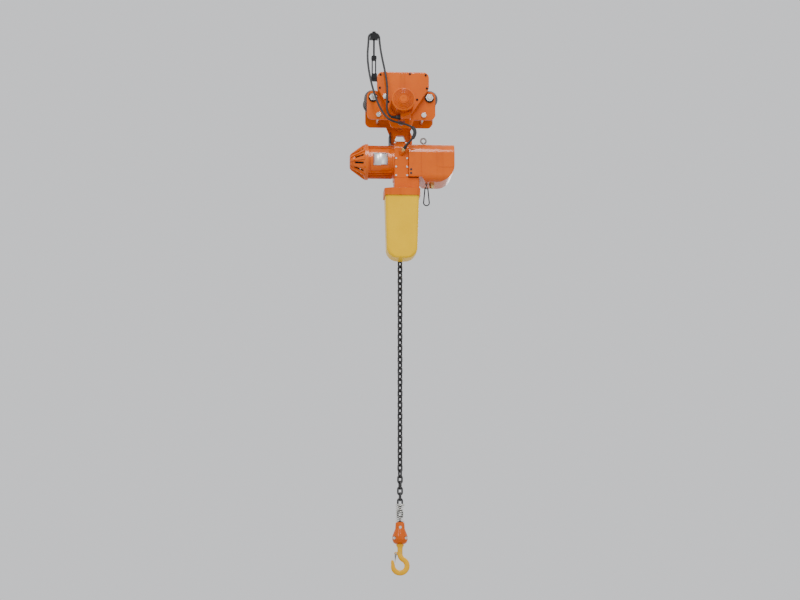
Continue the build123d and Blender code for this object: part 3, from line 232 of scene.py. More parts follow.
def metal(name, colour, tarnish, rough=0.3, stretch=None, relief=0.08, dirt=0.5, blackened_and_shaded=None):
    """Plated, turned or ground metal: tarnish in patches, fine tool marks, and the parts its mask picks
    painted near black, for black oxide and for painted shade.
    """
    g = Graph(name)
    patch = g.ramp(g.noise(46.0, 6.0, 0.6), 0.42, 0.72, 0.0, dirt)
    spots = g.ramp(g.noise(310.0, 5.0, 0.7), 0.62, 0.7, 0.0, dirt)
    body = g.mix(g.math("MAXIMUM", patch, spots), colour, tarnish)
    # painted near black: black oxide, and painted shade where the mask stands for shade
    if blackened_and_shaded:
        body = g.mix(blackened_and_shaded(g), body, BLACK_OXIDE_AND_SHADE)
    g.set("Base Color", body)
    g.set("Metallic", 1.0)
    lines = g.noise(520.0, 3.0, place=g.stretched(stretch) if stretch else None)
    g.set("Roughness", g.ramp(lines, 0.3, 0.7, rough * 0.75, rough * 1.4))
    return g.finish(lines, relief, 0.0004, 0.0006)


def casting(name, colour, shade, rough=0.6, relief=0.45, metallic=0.7, oil=0.0):
    """Sand-cast or forged dark iron."""
    g = Graph(name)
    mottled = g.ramp(g.noise(90.0, 7.0, 0.65), 0.35, 0.7)
    rubbed = g.math("MULTIPLY", g.edges(0.002), g.ramp(g.noise(160.0, 5.0), 0.35, 0.6))
    g.set("Base Color", g.mix(rubbed, g.mix(mottled, colour, shade), RUBBED_IRON))
    g.set("Metallic", metallic)
    g.set("Roughness", g.ramp(mottled, 0.0, 1.0, rough * (0.8 - 0.5 * oil), rough * (1.15 - 0.4 * oil)))
    return g.finish(g.noise(640.0, 5.0, 0.7), relief, 0.0006, 0.0006)


def plastic(name, colour, shade, rough=0.35, grain=900.0, relief=0.06, scuff=0.3, inside=0.0, shine=0.5):
    """Moulded plastic or rubber: fine spark-eroded grain and pale scuffs."""
    g = Graph(name)
    drift = g.ramp(g.noise(9.0, 3.0), 0.3, 0.7)
    rubs = g.ramp(g.noise(4.0, 8.0, 0.75, place=g.stretched((60.0, 60.0, 9.0))), 0.6, 0.7, 0.0, scuff)
    worn = tuple(min(1.0, c * 0.8 + 0.12) for c in colour)
    g.set("Base Color", g.mix(rubs, g.mix(drift, colour, shade), worn))
    g.set("Roughness", g.math("ADD", g.ramp(g.noise(70.0, 5.0), 0.3, 0.7, rough * 0.8, rough * 1.3), rubs))
    g.set("Specular IOR Level", shine)
    if inside:
        g.set("Subsurface Weight", inside)
        g.set("Subsurface Radius", (0.02, 0.012, 0.003))
        g.set("Subsurface Scale", 0.05)
    return g.finish(g.noise(grain, 2.0), relief, 0.0005, 0.0008)


def windings(name, axis):
    """Enamelled copper wire, its turns lying round the stator's bore."""
    g = Graph(name)
    bands = {"wave_type": "BANDS", "bands_direction": axis}
    wave = g.add("ShaderNodeTexWave", bands, Scale=160.0, Distortion=1.5)
    g.links.new(g.place, wave.inputs["Vector"])
    g.set("Base Color", g.mix(wave.outputs["Fac"], (0.20, 0.06, 0.02), (0.62, 0.25, 0.09)))
    g.set("Metallic", 0.8)
    g.set("Roughness", 0.38)
    return g.finish(wave.outputs["Fac"], 0.5, 0.0008)


def shaded_washers_and_cover_screws(g):
    """Painted shade on the washers under the axle nuts; the gear cover's screws but not its idle nut, as
    black oxide.
    """
    washer_inner, washer_outer, reach = 0.0955, 0.1003, 0.026
    # painted shade: the axle washers painted near black
    washer_shade = g.within(Y, washer_inner, washer_outer, fold=True)
    for axis, at in ((X, AXLE_X), (Z, AXLE_Z)):
        washer_shade = g.math("MULTIPLY", washer_shade, g.within(axis, at - reach, at + reach, fold=axis == X))
    nut_reach = 0.018
    nut_x = g.within(X, IDLE_NUT_X - nut_reach, IDLE_NUT_X + nut_reach)
    nut = g.math("MULTIPLY", nut_x, g.within(Z, IDLE_NUT_Z - nut_reach, IDLE_NUT_Z + nut_reach))
    on_cover = g.within(Y, -1.0, low("drive_cover", Y) + 0.0005)
    screws = g.math("MULTIPLY", on_cover, g.math("SUBTRACT", 1.0, nut))
    return g.math("MAXIMUM", washer_shade, screws)


def painted_shade_cheek(g):
    """Painted shade: the suspension bracket's left cheek, painted near black to stand for the shade on its
    left side.
    """
    thickness = 0.0096
    return g.within(X, -1.0, low("suspension_bracket", X) + thickness)


enamel = paint("orange_enamel", ORANGE, ORANGE_SHADE, PRIMER, coat=0.45)
cast_enamel = paint(
    "orange_cast_enamel", ORANGE, ORANGE_SHADE, PRIMER, rough=0.38, grain=230.0, relief=0.3
)
# the bracket's enamel, with its left cheek painted near black as painted shade
bracket_enamel_painted_shade = paint(
    "bracket_enamel_painted_shade", ORANGE, ORANGE_SHADE, PRIMER, rough=0.38, grain=230.0, relief=0.3,
    painted_shade_side=painted_shade_cheek,
)
plate_enamel = paint(
    "orange_plate_enamel", ORANGE, ORANGE_SHADE, PRIMER, rough=0.34, grain=520.0, wear=0.58
)
hook_enamel = paint(
    "hook_enamel", (0.94, 0.50, 0.002), (0.80, 0.38, 0.002), (0.26, 0.24, 0.22),
    rough=0.36, grain=260.0, relief=0.3, wear=0.5,
)
black_enamel = paint(
    "black_enamel", (0.018, 0.018, 0.02), (0.012, 0.012, 0.013), (0.30, 0.29, 0.28), rough=0.4, coat=0.1
)
bucket_plastic = plastic(
    "bucket_plastic", (0.94, 0.56, 0.0), (0.86, 0.50, 0.0),
    rough=0.27, grain=700.0, scuff=0.16, inside=0.02, shine=0.1,
)
black_plastic = plastic(
    "black_moulding", (0.022, 0.022, 0.023), (0.03, 0.03, 0.03), rough=0.45, scuff=0.1
)
rubber = plastic(
    "cable_jacket", (0.017, 0.017, 0.018), (0.026, 0.026, 0.027),
    rough=0.52, grain=1300.0, relief=0.12, scuff=0.12,
)
zinc = metal("zinc_plate", (0.79, 0.78, 0.74), (0.52, 0.47, 0.36), rough=0.26, dirt=0.4)
# zinc of the trolley's fasteners, with painted shade on the axle washers
trolley_zinc_painted_shade = metal(
    "trolley_zinc_painted_shade", (0.86, 0.85, 0.82), (0.52, 0.47, 0.36),
    rough=0.22, dirt=0.25, blackened_and_shaded=shaded_washers_and_cover_screws,
)
old_zinc = metal("old_zinc", (0.34, 0.33, 0.31), (0.10, 0.09, 0.08), rough=0.36, dirt=0.8)
steel = metal(
    "turned_steel", (0.60, 0.59, 0.58), (0.30, 0.25, 0.21), rough=0.3, stretch=(1.0, 8.0, 1.0), relief=0.14
)
gear_steel = metal("cut_gear_steel", (0.40, 0.39, 0.38), (0.13, 0.10, 0.07), rough=0.34, dirt=0.7)
brass = metal("turned_brass", (0.74, 0.52, 0.20), (0.40, 0.26, 0.10), rough=0.24, dirt=0.4)
alloy = metal(
    "plain_alloy", (0.82, 0.82, 0.82), (0.62, 0.62, 0.60), rough=0.3, stretch=(6.0, 1.0, 60.0), dirt=0.25
)
iron = casting("cast_iron", (0.075, 0.07, 0.066), (0.13, 0.12, 0.115), rough=0.55)
chain_steel = casting(
    "oiled_chain_steel", (0.028, 0.028, 0.030), (0.052, 0.050, 0.050),
    rough=0.42, relief=0.25, metallic=0.85, oil=0.5,
)
copper_x = windings("hoist_windings", "X")
copper_y = windings("trolley_windings", "Y")

MATERIALS = {
    enamel: [
        "control_box_cover", "drive_cover", "fan_cover", "gear_case", "motor_housing",
        "trolley_motor_housing",
    ],
    cast_enamel: [
        "centre_housing", "bucket_collar", "hook_block_front", "hook_block_rear", "trolley_motor_end_cap",
    ],
    bracket_enamel_painted_shade: ["suspension_bracket"],
    plate_enamel: ["trolley_front_plate", "trolley_rear_plate"],
    hook_enamel: ["load_hook"],
    black_enamel: ["tow_arm", "cable_saddle", "pendant_hook"],
    bucket_plastic: ["chain_bucket"],
    black_plastic: ["trolley_gland", "cooling_fan", "electrical_panel"],
    rubber: ["trolley_cable"],
    zinc: [
        "block_bolts", "hoist_screws", "hook_nut", "latch_pin", "lever_pivot", "limit_lever", "limit_spring",
        "safety_latch", "trolley_tie_rods", "wheel_axles",
    ],
    trolley_zinc_painted_shade: ["trolley_fasteners"],
    old_zinc: ["box_eyes"],
    steel: [
        "hoist_bearings", "hook_thrust_bearing", "load_shaft_spacers", "motor_rotor", "trolley_bearings",
        "trolley_load_shaft", "trolley_rotor",
    ],
    gear_steel: ["layshaft", "output_gear", "trolley_centre_gear", "trolley_drive_shaft"],
    brass: ["hoist_glands"],
    iron: [
        "brake_coil", "brake_disc", "chain_guide", "load_sheave", "wheel_front_left", "wheel_front_right",
        "wheel_rear_left", "wheel_rear_right",
    ],
    chain_steel: ["load_chain", "lower_chain", "stored_chain"],
    copper_x: ["motor_stator"],
    copper_y: ["trolley_motor_stator"],
}
for finish_material, names in MATERIALS.items():
    for node_name in names:
        mesh = NODES[node_name].data
        mesh.materials.clear()
        mesh.materials.append(finish_material)

# ------------------------------------------------------------------ mesh helpers


def piece(name, verts, faces, material, body, smooth=True, replaces=()):
    """A mesh object made from points and faces, riding on a CAD body."""
    mesh = bpy.data.meshes.new(name)
    mesh.from_pydata([tuple(v) for v in verts], [], faces)
    work = bmesh.new()
    work.from_mesh(mesh)
    bmesh.ops.recalc_face_normals(work, faces=work.faces)
    work.to_mesh(mesh)
    work.free()
    mesh.materials.append(material)
    obj = bpy.data.objects.new(name, mesh)
    bpy.context.scene.collection.objects.link(obj)
    for polygon in mesh.polygons:
        polygon.use_smooth = smooth
    if body:
        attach(obj, body)
    if replaces:
        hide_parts(*replaces)
    return obj


def angles(start, end, steps):
    """Evenly spaced angles from start to end, with both ends among them."""
    return [start + (end - start) * j / steps for j in range(steps + 1)]


def circle(radius, steps):
    return [(radius * math.cos(a), radius * math.sin(a)) for a in angles(0.0, 2 * math.pi, steps)[:-1]]


class Shape:
    """Points and faces gathered from several rings, for one piece."""

    def __init__(self):
        self.verts = []
        self.faces = []

    def rings(self, rows, closed=False, caps=True):
        """Joins rings of equally many points into a skin, with its ends closed."""
        start = len(self.verts)
        count = len(rows[0])
        for row in rows:
            self.verts += [Vector(v) for v in row]
        last = len(rows) if closed else len(rows) - 1
        for i in range(last):
            a = start + i * count
            b = start + ((i + 1) % len(rows)) * count
            for j in range(count):
                k = (j + 1) % count
                self.faces.append((a + j, a + k, b + k, b + j))
        if caps and not closed:
            self.faces.append(tuple(start + j for j in reversed(range(count))))
            self.faces.append(tuple(start + (len(rows) - 1) * count + j for j in range(count)))

    def lathe(self, profile, origin, axis, steps=32):
        """Turns (radius, height) points about an axis through origin."""
        spin = Vector((0, 0, 1)).rotation_difference(Vector(axis))
        rows = []
        for radius, height in profile:
            rows.append([Vector(origin) + spin @ Vector((u, v, height)) for u, v in circle(radius, steps)])
        self.rings(rows)

    def tube(self, points, section, up=None):
        """Sweeps section(i, n) -> list of (u, v) along points, carrying the frame along."""
        points = [Vector(p) for p in points]
        tangents = []
        for i in range(len(points)):
            before, after = points[max(i - 1, 0)], points[min(i + 1, len(points) - 1)]
            tangents.append((after - before).normalized())
        side = Vector(up) if up else tangents[0].orthogonal()
        rows = []
        for i, (point, tangent) in enumerate(zip(points, tangents)):
            side = (side - tangent * side.dot(tangent)).normalized()
            other = tangent.cross(side)
            rows.append([point + side * u + other * v for u, v in section(i, len(points))])
        self.rings(rows)


# ------------------------------------------------------------------ load chain

# a link's bar and inner length, then the radius of its ends and its whole length on the bar's centre line
BAR = 0.010
PITCH = 0.030
END_R = 0.0115
LINK_LINE = 0.0403
HALF_SIDE = LINK_LINE / 2 - END_R
HALF_LINK = (LINK_LINE + BAR) / 2

# links are counted down from the sheave, and the last four belong to the bottom block
FALL_LINKS = 64
FIRST_FREE_LINK = 3
FIRST_LOWER_LINK = 61
FIRST_LINK_Z = low("lower_chain", Z) + HALF_LINK + PITCH * (FALL_LINKS - 1)


def link_rows():
    """One welded link in the XZ plane: rings of its bar, with the weld's bulge half-way up one side."""
    weld_steps, plain_steps, weld = 8, 4, 0.00055
    arc = angles(0.0, math.pi, 8)
    line = [(END_R * math.cos(a), HALF_SIDE + END_R * math.sin(a), 0.0) for a in arc]
    for j in range(1, weld_steps):
        bulge = weld * max(0.0, 1 - abs(j - weld_steps / 2) / 1.5)
        line.append((-END_R, HALF_SIDE - 2 * HALF_SIDE * j / weld_steps, bulge))
    line += [(-END_R * math.cos(a), -HALF_SIDE - END_R * math.sin(a), 0.0) for a in arc]
    line += [(END_R, -HALF_SIDE + 2 * HALF_SIDE * j / plain_steps, 0.0) for j in range(1, plain_steps)]
    rows = []
    for i, (x, z, bulge) in enumerate(line):
        before, after = line[i - 1], line[(i + 1) % len(line)]
        tangent = Vector((after[0] - before[0], 0, after[1] - before[1])).normalized()
        across = Vector((0, 1, 0))
        outward = tangent.cross(across)
        centre = Vector((x, 0, z))
        rows.append([centre + outward * u + across * v for u, v in circle(BAR / 2 + bulge, 10)])
    return rows


def ease(t):
    """0 to 1 with a slow start and end."""
    t = min(1.0, max(0.0, t))
    return t * t * (3 - 2 * t)


def chain_piece(name, first, last, body, node):
    """Links first to last, which twist by an eighth of a turn over the fall's middle and back again."""
    shape = Shape()
    rows = link_rows()
    most, links_to_twist = 45, 12
    for k in range(first, last + 1):
        twist = most * ease((k - FIRST_FREE_LINK) / links_to_twist)
        twist *= ease((FALL_LINKS - 2 - k) / links_to_twist)
        turn = Matrix.Rotation(math.radians(90 * (k % 2) + twist), 3, "Z")
        at = Vector((0, 0, FIRST_LINK_Z - PITCH * (k - 1)))
        shape.rings([[at + turn @ v for v in row] for row in rows], closed=True)
    return piece(name, shape.verts, shape.faces, chain_steel, body, replaces=[node])


fall = chain_piece("load_chain_links", FIRST_FREE_LINK, FIRST_LOWER_LINK - 1, "chain_fall", "load_chain")
chain_piece("lower_chain_links", FIRST_LOWER_LINK, FALL_LINKS, "hook_block", "lower_chain")
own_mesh(fall)

# ------------------------------------------------------------------ hook


def hook_line():
    """The centre line of the hook's bar: shank, neck bent out of line, bowl and tip."""
    neck, shank_step = 0.062, 0.006
    shank_steps, neck_steps, bowl_steps, tip_steps = 5, 9, 47, 9
    start_z = BOWL_Z + neck
    bend_r = (neck**2 - HOOK_MID**2) / (2 * HOOK_MID)
    meet = math.atan2(neck, bend_r)
    line = [Vector((0, 0, start_z + shank_step * (shank_steps - i))) for i in range(shank_steps)]
    for a in angles(0.0, meet, neck_steps)[:-1]:
        line.append(Vector((bend_r * (1 - math.cos(a)), 0, start_z - bend_r * math.sin(a))))
    for a in angles(meet, -math.pi, bowl_steps):
        line.append(Vector((HOOK_MID * math.cos(a), 0, BOWL_Z + HOOK_MID * math.sin(a))))
    lean, tip_length, upright = math.radians(10), 0.0305, 0.004
    for i in range(1, tip_steps + 1):
        up = tip_length * i / tip_steps
        line.append(Vector((-HOOK_MID - math.sin(lean) * max(0.0, up - upright), 0, BOWL_Z + up)))
    return line


def hook_section(i, n):
    """The bar's section at step i of n: squarer in the bowl, thinner and then round at the tip."""
    t = i / (n - 1)
    bowl = math.exp(-(((t - 0.5) / 0.24) ** 2))
    tip = ease((t - 0.72) / 0.28)
    inward = HOOK_BAR * (1 + 0.03 * bowl) * (1 - 0.42 * tip)
    wide = HOOK_BAR * (1 - 0.10 * bowl) * (1 - 0.45 * tip)
    end_steps, end_reach = 5, 4.15
    past = max(0.0, i - (n - end_steps)) / end_reach
    end = math.sqrt(max(0.0, 1 - past**2))
    power = 2 / (2 + 0.9 * bowl)
    points = []
    for c, s in circle(1.0, 28):
        u = math.copysign(abs(c) ** power, c) * inward
        # the inner side of the bowl is broader than its back
        v = math.copysign(abs(s) ** power, s) * wide * (1 + 0.10 * bowl * c)
        points.append((u * end, v * end))
    return points


def latch_lug(shape):
    """The rounded lug on the hook's neck that holds the latch's pin."""
    half, reach, edge = 0.0045, 0.0080, 0.0008
    rows = []
    turn = angles(math.pi / 2, 3 * math.pi / 2, 12)
    for y, grow in ((-half, 0.9), (-half + edge, 1.0), (half - edge, 1.0), (half, 0.9)):
        r = reach * grow
        row = [(LATCH_X + r * math.cos(a), y, LATCH_Z + r * math.sin(a)) for a in turn]
        rows.append(row + [(0.0, y, LATCH_Z - r), (0.0, y, LATCH_Z + r)])
    shape.rings(rows)


def forged_hook():
    """Shank, offset neck, bowl and tip, as one forging whose section swells towards the bowl."""
    shape = Shape()
    shape.tube(hook_line(), hook_section, up=(-1, 0, 0))
    collar, top, middle_r = BLOCK_BOTTOM - 0.0006, high("load_hook", Z), 0.0005
    below_collar = [
        (middle_r, 0.052), (0.0128, 0.052), (0.0135, 0.024), (0.0150, 0.0165), (0.0188, 0.0105),
        (0.0197, 0.0085), (0.0200, 0.0065), (0.0200, 0.0018), (0.0192, 0.0004), (0.0122, 0.0),
    ]
    profile = [(radius, collar - drop) for radius, drop in below_collar]
    profile += [(0.0120, top - 0.001), (0.0110, top), (middle_r, top)]
    shape.lathe(profile, (0, 0, 0), (0, 0, 1), 40)
    latch_lug(shape)
    piece("forged_hook", shape.verts, shape.faces, hook_enamel, "hook", replaces=["load_hook"])


forged_hook()

# ------------------------------------------------------------------ chain bucket


def rounded_section(half_x, front, rear, z, radius):
    """A rounded rectangle at height z."""
    radius = max(0.0005, min(radius, half_x * 0.98))
    quarter = math.pi / 2
    points = []
    corners = ((1, rear), (-1, rear), (-1, front), (1, front))
    for k, (sign, edge) in enumerate(corners):
        inward = -1 if edge == rear else 1
        centre = (sign * (half_x - radius), edge + inward * radius)
        for a in angles(quarter * k, quarter * (k + 1), 7):
            points.append((centre[0] + radius * math.cos(a), centre[1] + radius * math.sin(a), z))
    return points


def bucket_half_width(z, top, bottom, half_top, half_bottom, corner):
    """Half the bucket's width at height z, with its deep rounded lower corners."""
    share = (top - z) / (top - bottom)
    straight = half_top + (half_bottom - half_top) * share
    rise = z - bottom
    if rise >= corner:
        return straight
    return straight - corner + math.sqrt(max(0.0, corner**2 - (corner - rise) ** 2))


def chain_bucket():
    """A moulded bucket open at its top: tapered, rounded at its lower corners."""
    (x0, front, bottom), (x1, rear, top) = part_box("chain_bucket")
    side_taper, front_taper, rear_taper = 0.011, 0.012, 0.004
    corner, upright_edge, wall, fillet, draw_depth = 0.056, 0.022, 0.0035, 0.009, 0.0012
    half_top = (x1 - x0) / 2
    half_bottom = half_top - side_taper
    hair = 0.0001
    shape = Shape()

    def level(z, inset):
        share = (top - z) / (top - bottom)
        half = bucket_half_width(max(z, bottom + hair), top, bottom, half_top, half_bottom, corner) - inset
        f = front + front_taper * share + inset
        r = rear - rear_taper * share - inset
        # the lower edge is rolled in from front and rear
        rise = z - bottom
        if rise < fillet:
            roll = fillet - math.sqrt(max(0.0, fillet**2 - (fillet - rise) ** 2))
            f, r, half = f + roll, r - roll, half - 0.4 * roll
        # the broad faces are drawn in by a millimetre at their middle, as a moulding shrinks
        draw = draw_depth * math.sin(math.pi * min(1.0, max(0.0, share)))
        points = []
        for x, y, _ in rounded_section(half, f, r, z, upright_edge - inset):
            side = math.copysign(1.0, y - (f + r) / 2)
            points.append((x, y - side * draw * (1 - (x / half) ** 2), z))
        return points

    heights = [bottom + hair + fillet * (1 - math.cos(math.radians(15 * i))) for i in range(7)]
    heights += [bottom + fillet + (corner - fillet) * i / 12 for i in range(1, 13)]
    heights += [bottom + corner + (top - bottom - corner) * i / 16 for i in range(1, 17)]
    outer = [level(z, 0.0) for z in heights]
    inner = [level(max(z, bottom + wall + 2 * hair), wall) for z in reversed(heights) if z > bottom + wall]
    shape.rings(outer + inner)
    piece(
        "bucket_shell", shape.verts, shape.faces, bucket_plastic, "hoist",
        replaces=["chain_bucket"],
    )


chain_bucket()

# ------------------------------------------------------------------ cable

CABLE_R = 0.0055
GLAND_DIRECTION = Vector((0.36, -0.78, 0.51)).normalized()
GLAND_FOOT = Vector((0.0, -0.121, -0.255))
GLAND_LENGTH = 0.041
STRAIGHT_OUT = 0.032
CABLE_START = GLAND_FOOT + GLAND_LENGTH * GLAND_DIRECTION
SADDLE = Vector((-0.146, -0.108, 0.372))
LOOP = 0.0275
MOTOR_GLAND = Vector((-0.034, -0.178, -0.07375))

# the CAD cable's own route: from the hoist's gland over the saddle to the trolley motor's gland
CABLE_ROUTE = [
    tuple(CABLE_START),
    tuple(CABLE_START + STRAIGHT_OUT * GLAND_DIRECTION),
    (0.062, -0.196, -0.184),
    (0.068, -0.202, -0.146),
    (0.034, -0.198, -0.120),
    (-0.022, -0.188, -0.106),
    (-0.072, -0.178, -0.088),
    (-0.110, -0.166, -0.036),
    (-0.138, -0.158, 0.032),
    (-0.160, -0.150, 0.108),
    (-0.176, -0.138, 0.194),
    (-0.182, -0.120, 0.276),
    (SADDLE.x - LOOP - 0.002, SADDLE.y, SADDLE.z - 0.026),
    (SADDLE.x - LOOP, SADDLE.y, SADDLE.z + LOOP),
    (SADDLE.x + LOOP, SADDLE.y, SADDLE.z + LOOP),
    (SADDLE.x + LOOP + 0.003, SADDLE.y, SADDLE.z - 0.030),
    (-0.104, -0.126, 0.262),
    (-0.088, -0.150, 0.176),
    (-0.078, -0.160, 0.104),
    (-0.078, -0.168, 0.048),
    (-0.080, -0.173, 0.0),
    (-0.082, -0.1765, -0.030),
    (-0.072, MOTOR_GLAND.y, -0.060),
    (-0.054, MOTOR_GLAND.y, MOTOR_GLAND.z),
    tuple(MOTOR_GLAND),
]


def cable_line(route):
    """The smooth line that a cable lies on: points read from a NURBS spline that is led by its route."""
    curve = bpy.data.curves.new("cable_line", "CURVE")
    curve.dimensions = "3D"
    curve.resolution_u = 12
    spline = curve.splines.new("NURBS")
    spline.points.add(len(route) - 1)
    for point, place in zip(spline.points, route):
        point.co = (*place, 1.0)
    spline.order_u = 3
    spline.use_endpoint_u = True
    holder = bpy.data.objects.new("cable_line", curve)
    bpy.context.scene.collection.objects.link(holder)
    bpy.context.view_layer.update()
    mesh = bpy.data.meshes.new_from_object(holder)
    points = [v.co.copy() for v in mesh.vertices]
    bpy.data.objects.remove(holder)
    bpy.data.curves.remove(curve)
    bpy.data.meshes.remove(mesh)
    return points


TAPE_PLACE = Vector((0.066, -0.200, -0.160))


def trolley_cable():
    """The cable as a tube that bends between the hoist and the trolley, with its tape."""
    line = cable_line(CABLE_ROUTE)
    shape = Shape()
    shape.tube(line, lambda i, n: circle(CABLE_R, 16))
    cable = piece("cable_tube", shape.verts, shape.faces, rubber, None, replaces=["trolley_cable"])
    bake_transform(cable)
    wrap = tape_wrap(line)


def tape_wrap(line):
    """Black tape wound round the cable where it turns up from the hoist."""
    thickness, lap_height, reach, steps, pitch = 0.0034, 0.0013, 11, 18, 9
    nearest = min(range(len(line)), key=lambda i: (line[i] - TAPE_PLACE).length)
    taped = line[nearest - reach:nearest + reach + 1]
    stretch = []
    for a, b in zip(taped, taped[1:]):
        stretch += [a.lerp(b, k / 4) for k in range(4)]

    def section(i, n):
        edge = min(1.0, (min(i, n - 1 - i) + 0.6) / 2.5)
        points = []
        for j, (u, v) in enumerate(circle(1.0, steps)):
            lap = ((i / pitch + j / steps) % 1.0) * lap_height
            radius = CABLE_R + (thickness + lap) * edge
            points.append((radius * u, radius * v))
        return points

    shape = Shape()
    shape.tube(stretch, section)
    wrap = piece("cable_tape", shape.verts, shape.faces, black_plastic, None)
    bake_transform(wrap)
    return wrap


trolley_cable()


def strain_relief(name, at, direction, body):
    """A ribbed rubber sleeve that tapers from a gland on to the cable."""
    direction = Vector(direction).normalized()
    ribs, pitch, widest, taper, groove, length = 6, 0.0040, 0.0090, 0.0027, 0.0014, 0.0262
    profile = [(CABLE_R + 0.0001, 0.0)]
    for k in range(ribs):
        outer = widest - taper * k / ribs
        height = 0.0006 + pitch * k
        profile += [(outer, height), (outer, height + 0.0024)]
        profile += [(outer - groove, height + 0.0028), (outer - groove, height + 0.0037)]
    profile += [(CABLE_R + 0.0003, length - 0.0004), (CABLE_R + 0.0001, length)]
    shape = Shape()
    shape.lathe(profile, at, direction, 24)
    piece(name, shape.verts, shape.faces, rubber, body)


strain_relief("supply_strain_relief", CABLE_START, GLAND_DIRECTION, "hoist")
strain_relief("motor_strain_relief", MOTOR_GLAND, (-1, 0, 0), "trolley")

# ------------------------------------------------------------------ small trim

PLUG_HEIGHTS = (-0.346, -0.366)


def rating_plate():
    """A blank alloy plate riveted to the motor's front band."""
    y, z = middle("motor_housing", Y), middle("motor_housing", Z)
    radius, thickness, steps = 0.0852, 0.0010, 10
    left, right, span = -0.150, -0.072, math.radians(23)

    def place(x, angle, height):
        out = radius + height
        return Vector((x, y + out * math.cos(angle), z + out * math.sin(angle)))

    bend = angles(math.pi - span, math.pi + span, steps)
    rows = []
    for height in (0.0, thickness):
        ring = [place(left, angle, height) for angle in bend]
        rows.append(ring + [place(right, angle, height) for angle in reversed(bend)])
    shape = Shape()
    shape.rings(rows, caps=False)
    count = len(rows[0])
    for base in (0, count):
        for j in range(steps):
            shape.faces.append((base + j, base + j + 1, base + count - 2 - j, base + count - 1 - j))
    dome = [(0.0022, 0.0), (0.0021, 0.0006), (0.0016, 0.0011), (0.0009, 0.0014), (0.0002, 0.0015)]
    from_end, from_edge, sunk = 0.005, 0.06, 0.0008
    for x in (left + from_end, right - from_end):
        for sign in (-1, 1):
            a = math.pi + sign * (span - from_edge)
            shape.lathe(dome, place(x, a, sunk), (0, math.cos(a), math.sin(a)), 12)
    piece("blank_rating_plate", shape.verts, shape.faces, alloy, "hoist")


def motor_cowl():
    """The trolley motor's end cap as a pressed cowl: concentric ribs round a flat boss."""
    (left, face, _), (right, rim, _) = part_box("trolley_motor_end_cap")
    z = middle("trolley_motor_end_cap", Z)
    deep, radius = rim - face, (right - left) / 2
    hollow, hollow_r, middle_r = 0.014, 0.020, 0.0005
    profile = [(middle_r, hollow), (hollow_r, hollow), (hollow_r, 0.0)]
    profile += [(radius - 0.0006, 0.0), (radius, 0.0008)]
    profile += [(radius, deep * 0.36), (radius - 0.0012, deep * 0.42)]
    ribs, width, groove = 5, 0.0036, 0.0030
    for k in range(ribs):
        r = radius - 0.0045 - 2 * width * k
        crown = deep * min(1.0, 0.46 + 0.62 * (k + 0.5) / ribs)
        profile += [(r, crown - 0.0012), (r - 0.0010, crown), (r - width + 0.0004, crown + 0.0004)]
        profile += [(r - width, crown - groove), (r - 2 * width + 0.0006, crown - groove)]
    profile = [(r, min(h, deep)) for r, h in profile]
    last, dish, dish_r = profile[-1][0], 0.0016, 0.0060
    profile += [(last - 0.0006, deep - 0.0010), (last - 0.0018, deep), (dish_r, deep)]
    profile += [(dish_r - 0.0010, deep - dish), (middle_r, deep - dish)]
    shape = Shape()
    shape.lathe(profile, (0, rim, z), (0, -1, 0), 64)
    piece(
        "motor_cowl", shape.verts, shape.faces, cast_enamel, "trolley", smooth=False,
        replaces=["trolley_motor_end_cap"],
    )


def folded_latch():
    """The hook's latch as a folded sheet: two eyes on the pin, and a tongue with a rounded end."""
    pivot = Vector((LATCH_X, 0.0, LATCH_Z))
    turn = Matrix.Rotation(math.radians(LATCH_ANGLE), 3, "Y")
    eye, sheet, half, length, start = 0.0045, 0.0015, 0.0080, 0.0470, 0.0120
    cheek_end, straight_end, end, edge = length * 0.72, length * 0.7, 0.0055, 0.0003
    shape = Shape()
    side = [(eye * math.cos(a), eye * math.sin(a)) for a in angles(0.0, math.pi, 12)]
    side += [(-eye, -start), (-sheet / 2, -cheek_end), (sheet / 2, -cheek_end), (eye, -start)]
    for sign in (-1, 1):
        rows = [[pivot + turn @ Vector((x, sign * y, z)) for x, z in side] for y in (half - sheet, half)]
        shape.rings(rows)
    tongue = [(-half, -start), (half, -start), (half, -straight_end)]
    for a in angles(0.0, -math.pi, 10):
        tongue.append((end * math.cos(a), -length + end + end * math.sin(a)))
    tongue += [(-half, -straight_end)]
    face = sheet / 2
    rows = []
    for x, shrink in ((-face, 0.96), (-face + edge, 1.0), (face - edge, 1.0), (face, 0.96)):
        rows.append([pivot + turn @ Vector((x, y * shrink, z)) for y, z in tongue])
    shape.rings(rows)
    piece(
        "folded_latch", shape.verts, shape.faces, old_zinc, "latch", smooth=False,
        replaces=["safety_latch"],
    )


def case_plugs():
    """Two black plugs low on the gear case's front."""
    shape = Shape()
    x, front = low("gear_case", X) + 0.011, low("gear_case", Y)
    profile = [(0.0005, -0.002), (0.0060, -0.002), (0.0060, 0.0012), (0.0053, 0.0020), (0.0030, 0.0020)]
    profile += [(0.0028, 0.0004), (0.0005, 0.0004)]
    for z in PLUG_HEIGHTS:
        shape.lathe(profile, (x, front, z), (0, -1, 0), 20)
    piece("case_plugs", shape.verts, shape.faces, black_plastic, "hoist", smooth=False)


rating_plate()
motor_cowl()
folded_latch()
case_plugs()

# ------------------------------------------------------------------ studio

FLOOR_Z = -11.0
FLOOR_REACH = 250.0


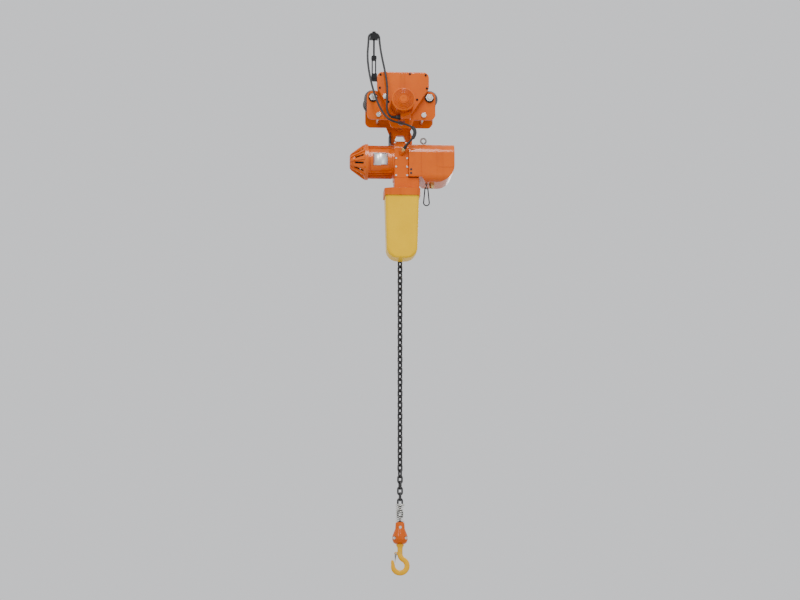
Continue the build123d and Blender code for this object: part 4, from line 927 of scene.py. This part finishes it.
def floor():
    mesh = bpy.data.meshes.new("floor")
    signs = ((-1, -1), (1, -1), (1, 1), (-1, 1))
    corners = [(x * FLOOR_REACH, y * FLOOR_REACH, FLOOR_Z) for x, y in signs]
    mesh.from_pydata(corners, [], [(0, 1, 2, 3)])
    plane = bpy.data.objects.new("floor", mesh)
    bpy.context.scene.collection.objects.link(plane)
    g = Graph("pale_floor")
    g.set("Base Color", (0.86, 0.86, 0.85))
    g.set("Roughness", 0.7)
    mesh.materials.append(g.material)


def surroundings():
    world = bpy.data.worlds.new("studio")
    bpy.context.scene.world = world
    world.use_nodes = True
    background = world.node_tree.nodes["Background"]
    background.inputs["Color"].default_value = (0.96, 0.97, 1.0, 1.0)
    background.inputs["Strength"].default_value = 0.88


def lamps():
    """Four soft lamps, each with its place, aim, width, height, power and colour."""
    lights = [
        ("key", (-3.2, -5.0, 2.6), (0.0, 0.0, -0.7), 2.2, 2.2, 90.0, (1.0, 0.985, 0.96)),
        ("fill", (4.2, -5.5, -1.2), (0.0, 0.0, -0.9), 4.0, 4.0, 40.0, (0.95, 0.97, 1.0)),
        ("top", (0.3, -3.6, 3.4), (0.0, 0.0, -0.5), 0.8, 3.4, 130.0, (1.0, 1.0, 1.0)),
        ("back", (2.0, 5.0, 1.5), (0.0, 0.0, -0.8), 3.5, 3.5, 100.0, (1.0, 1.0, 1.0)),
    ]
    for name, place, aim, width, height, power, colour in lights:
        lamp = bpy.data.lights.new(name, "AREA")
        lamp.shape = "ELLIPSE"
        lamp.size, lamp.size_y = width, height
        lamp.energy, lamp.color = power, colour
        stand(name, lamp, place, aim)


def stand(name, data, place, aim):
    """An object at a place, with its -Z axis on its aim and its Y axis up."""
    holder = bpy.data.objects.new(name, data)
    holder.location = place
    holder.rotation_euler = (Vector(aim) - Vector(place)).to_track_quat("-Z", "Y").to_euler()
    bpy.context.scene.collection.objects.link(holder)
    return holder


def camera():
    """Low, left of the middle and far off, with the whole hoist in view."""
    lens = bpy.data.cameras.new("camera")
    lens.sensor_width = 36.0
    lens.lens = 104.0
    lens.clip_end = 1000.0
    bpy.context.scene.camera = stand("camera", lens, (-0.79, -12.0, -3.02), (0.0, 0.0, -1.02))


floor()
surroundings()
lamps()
camera()
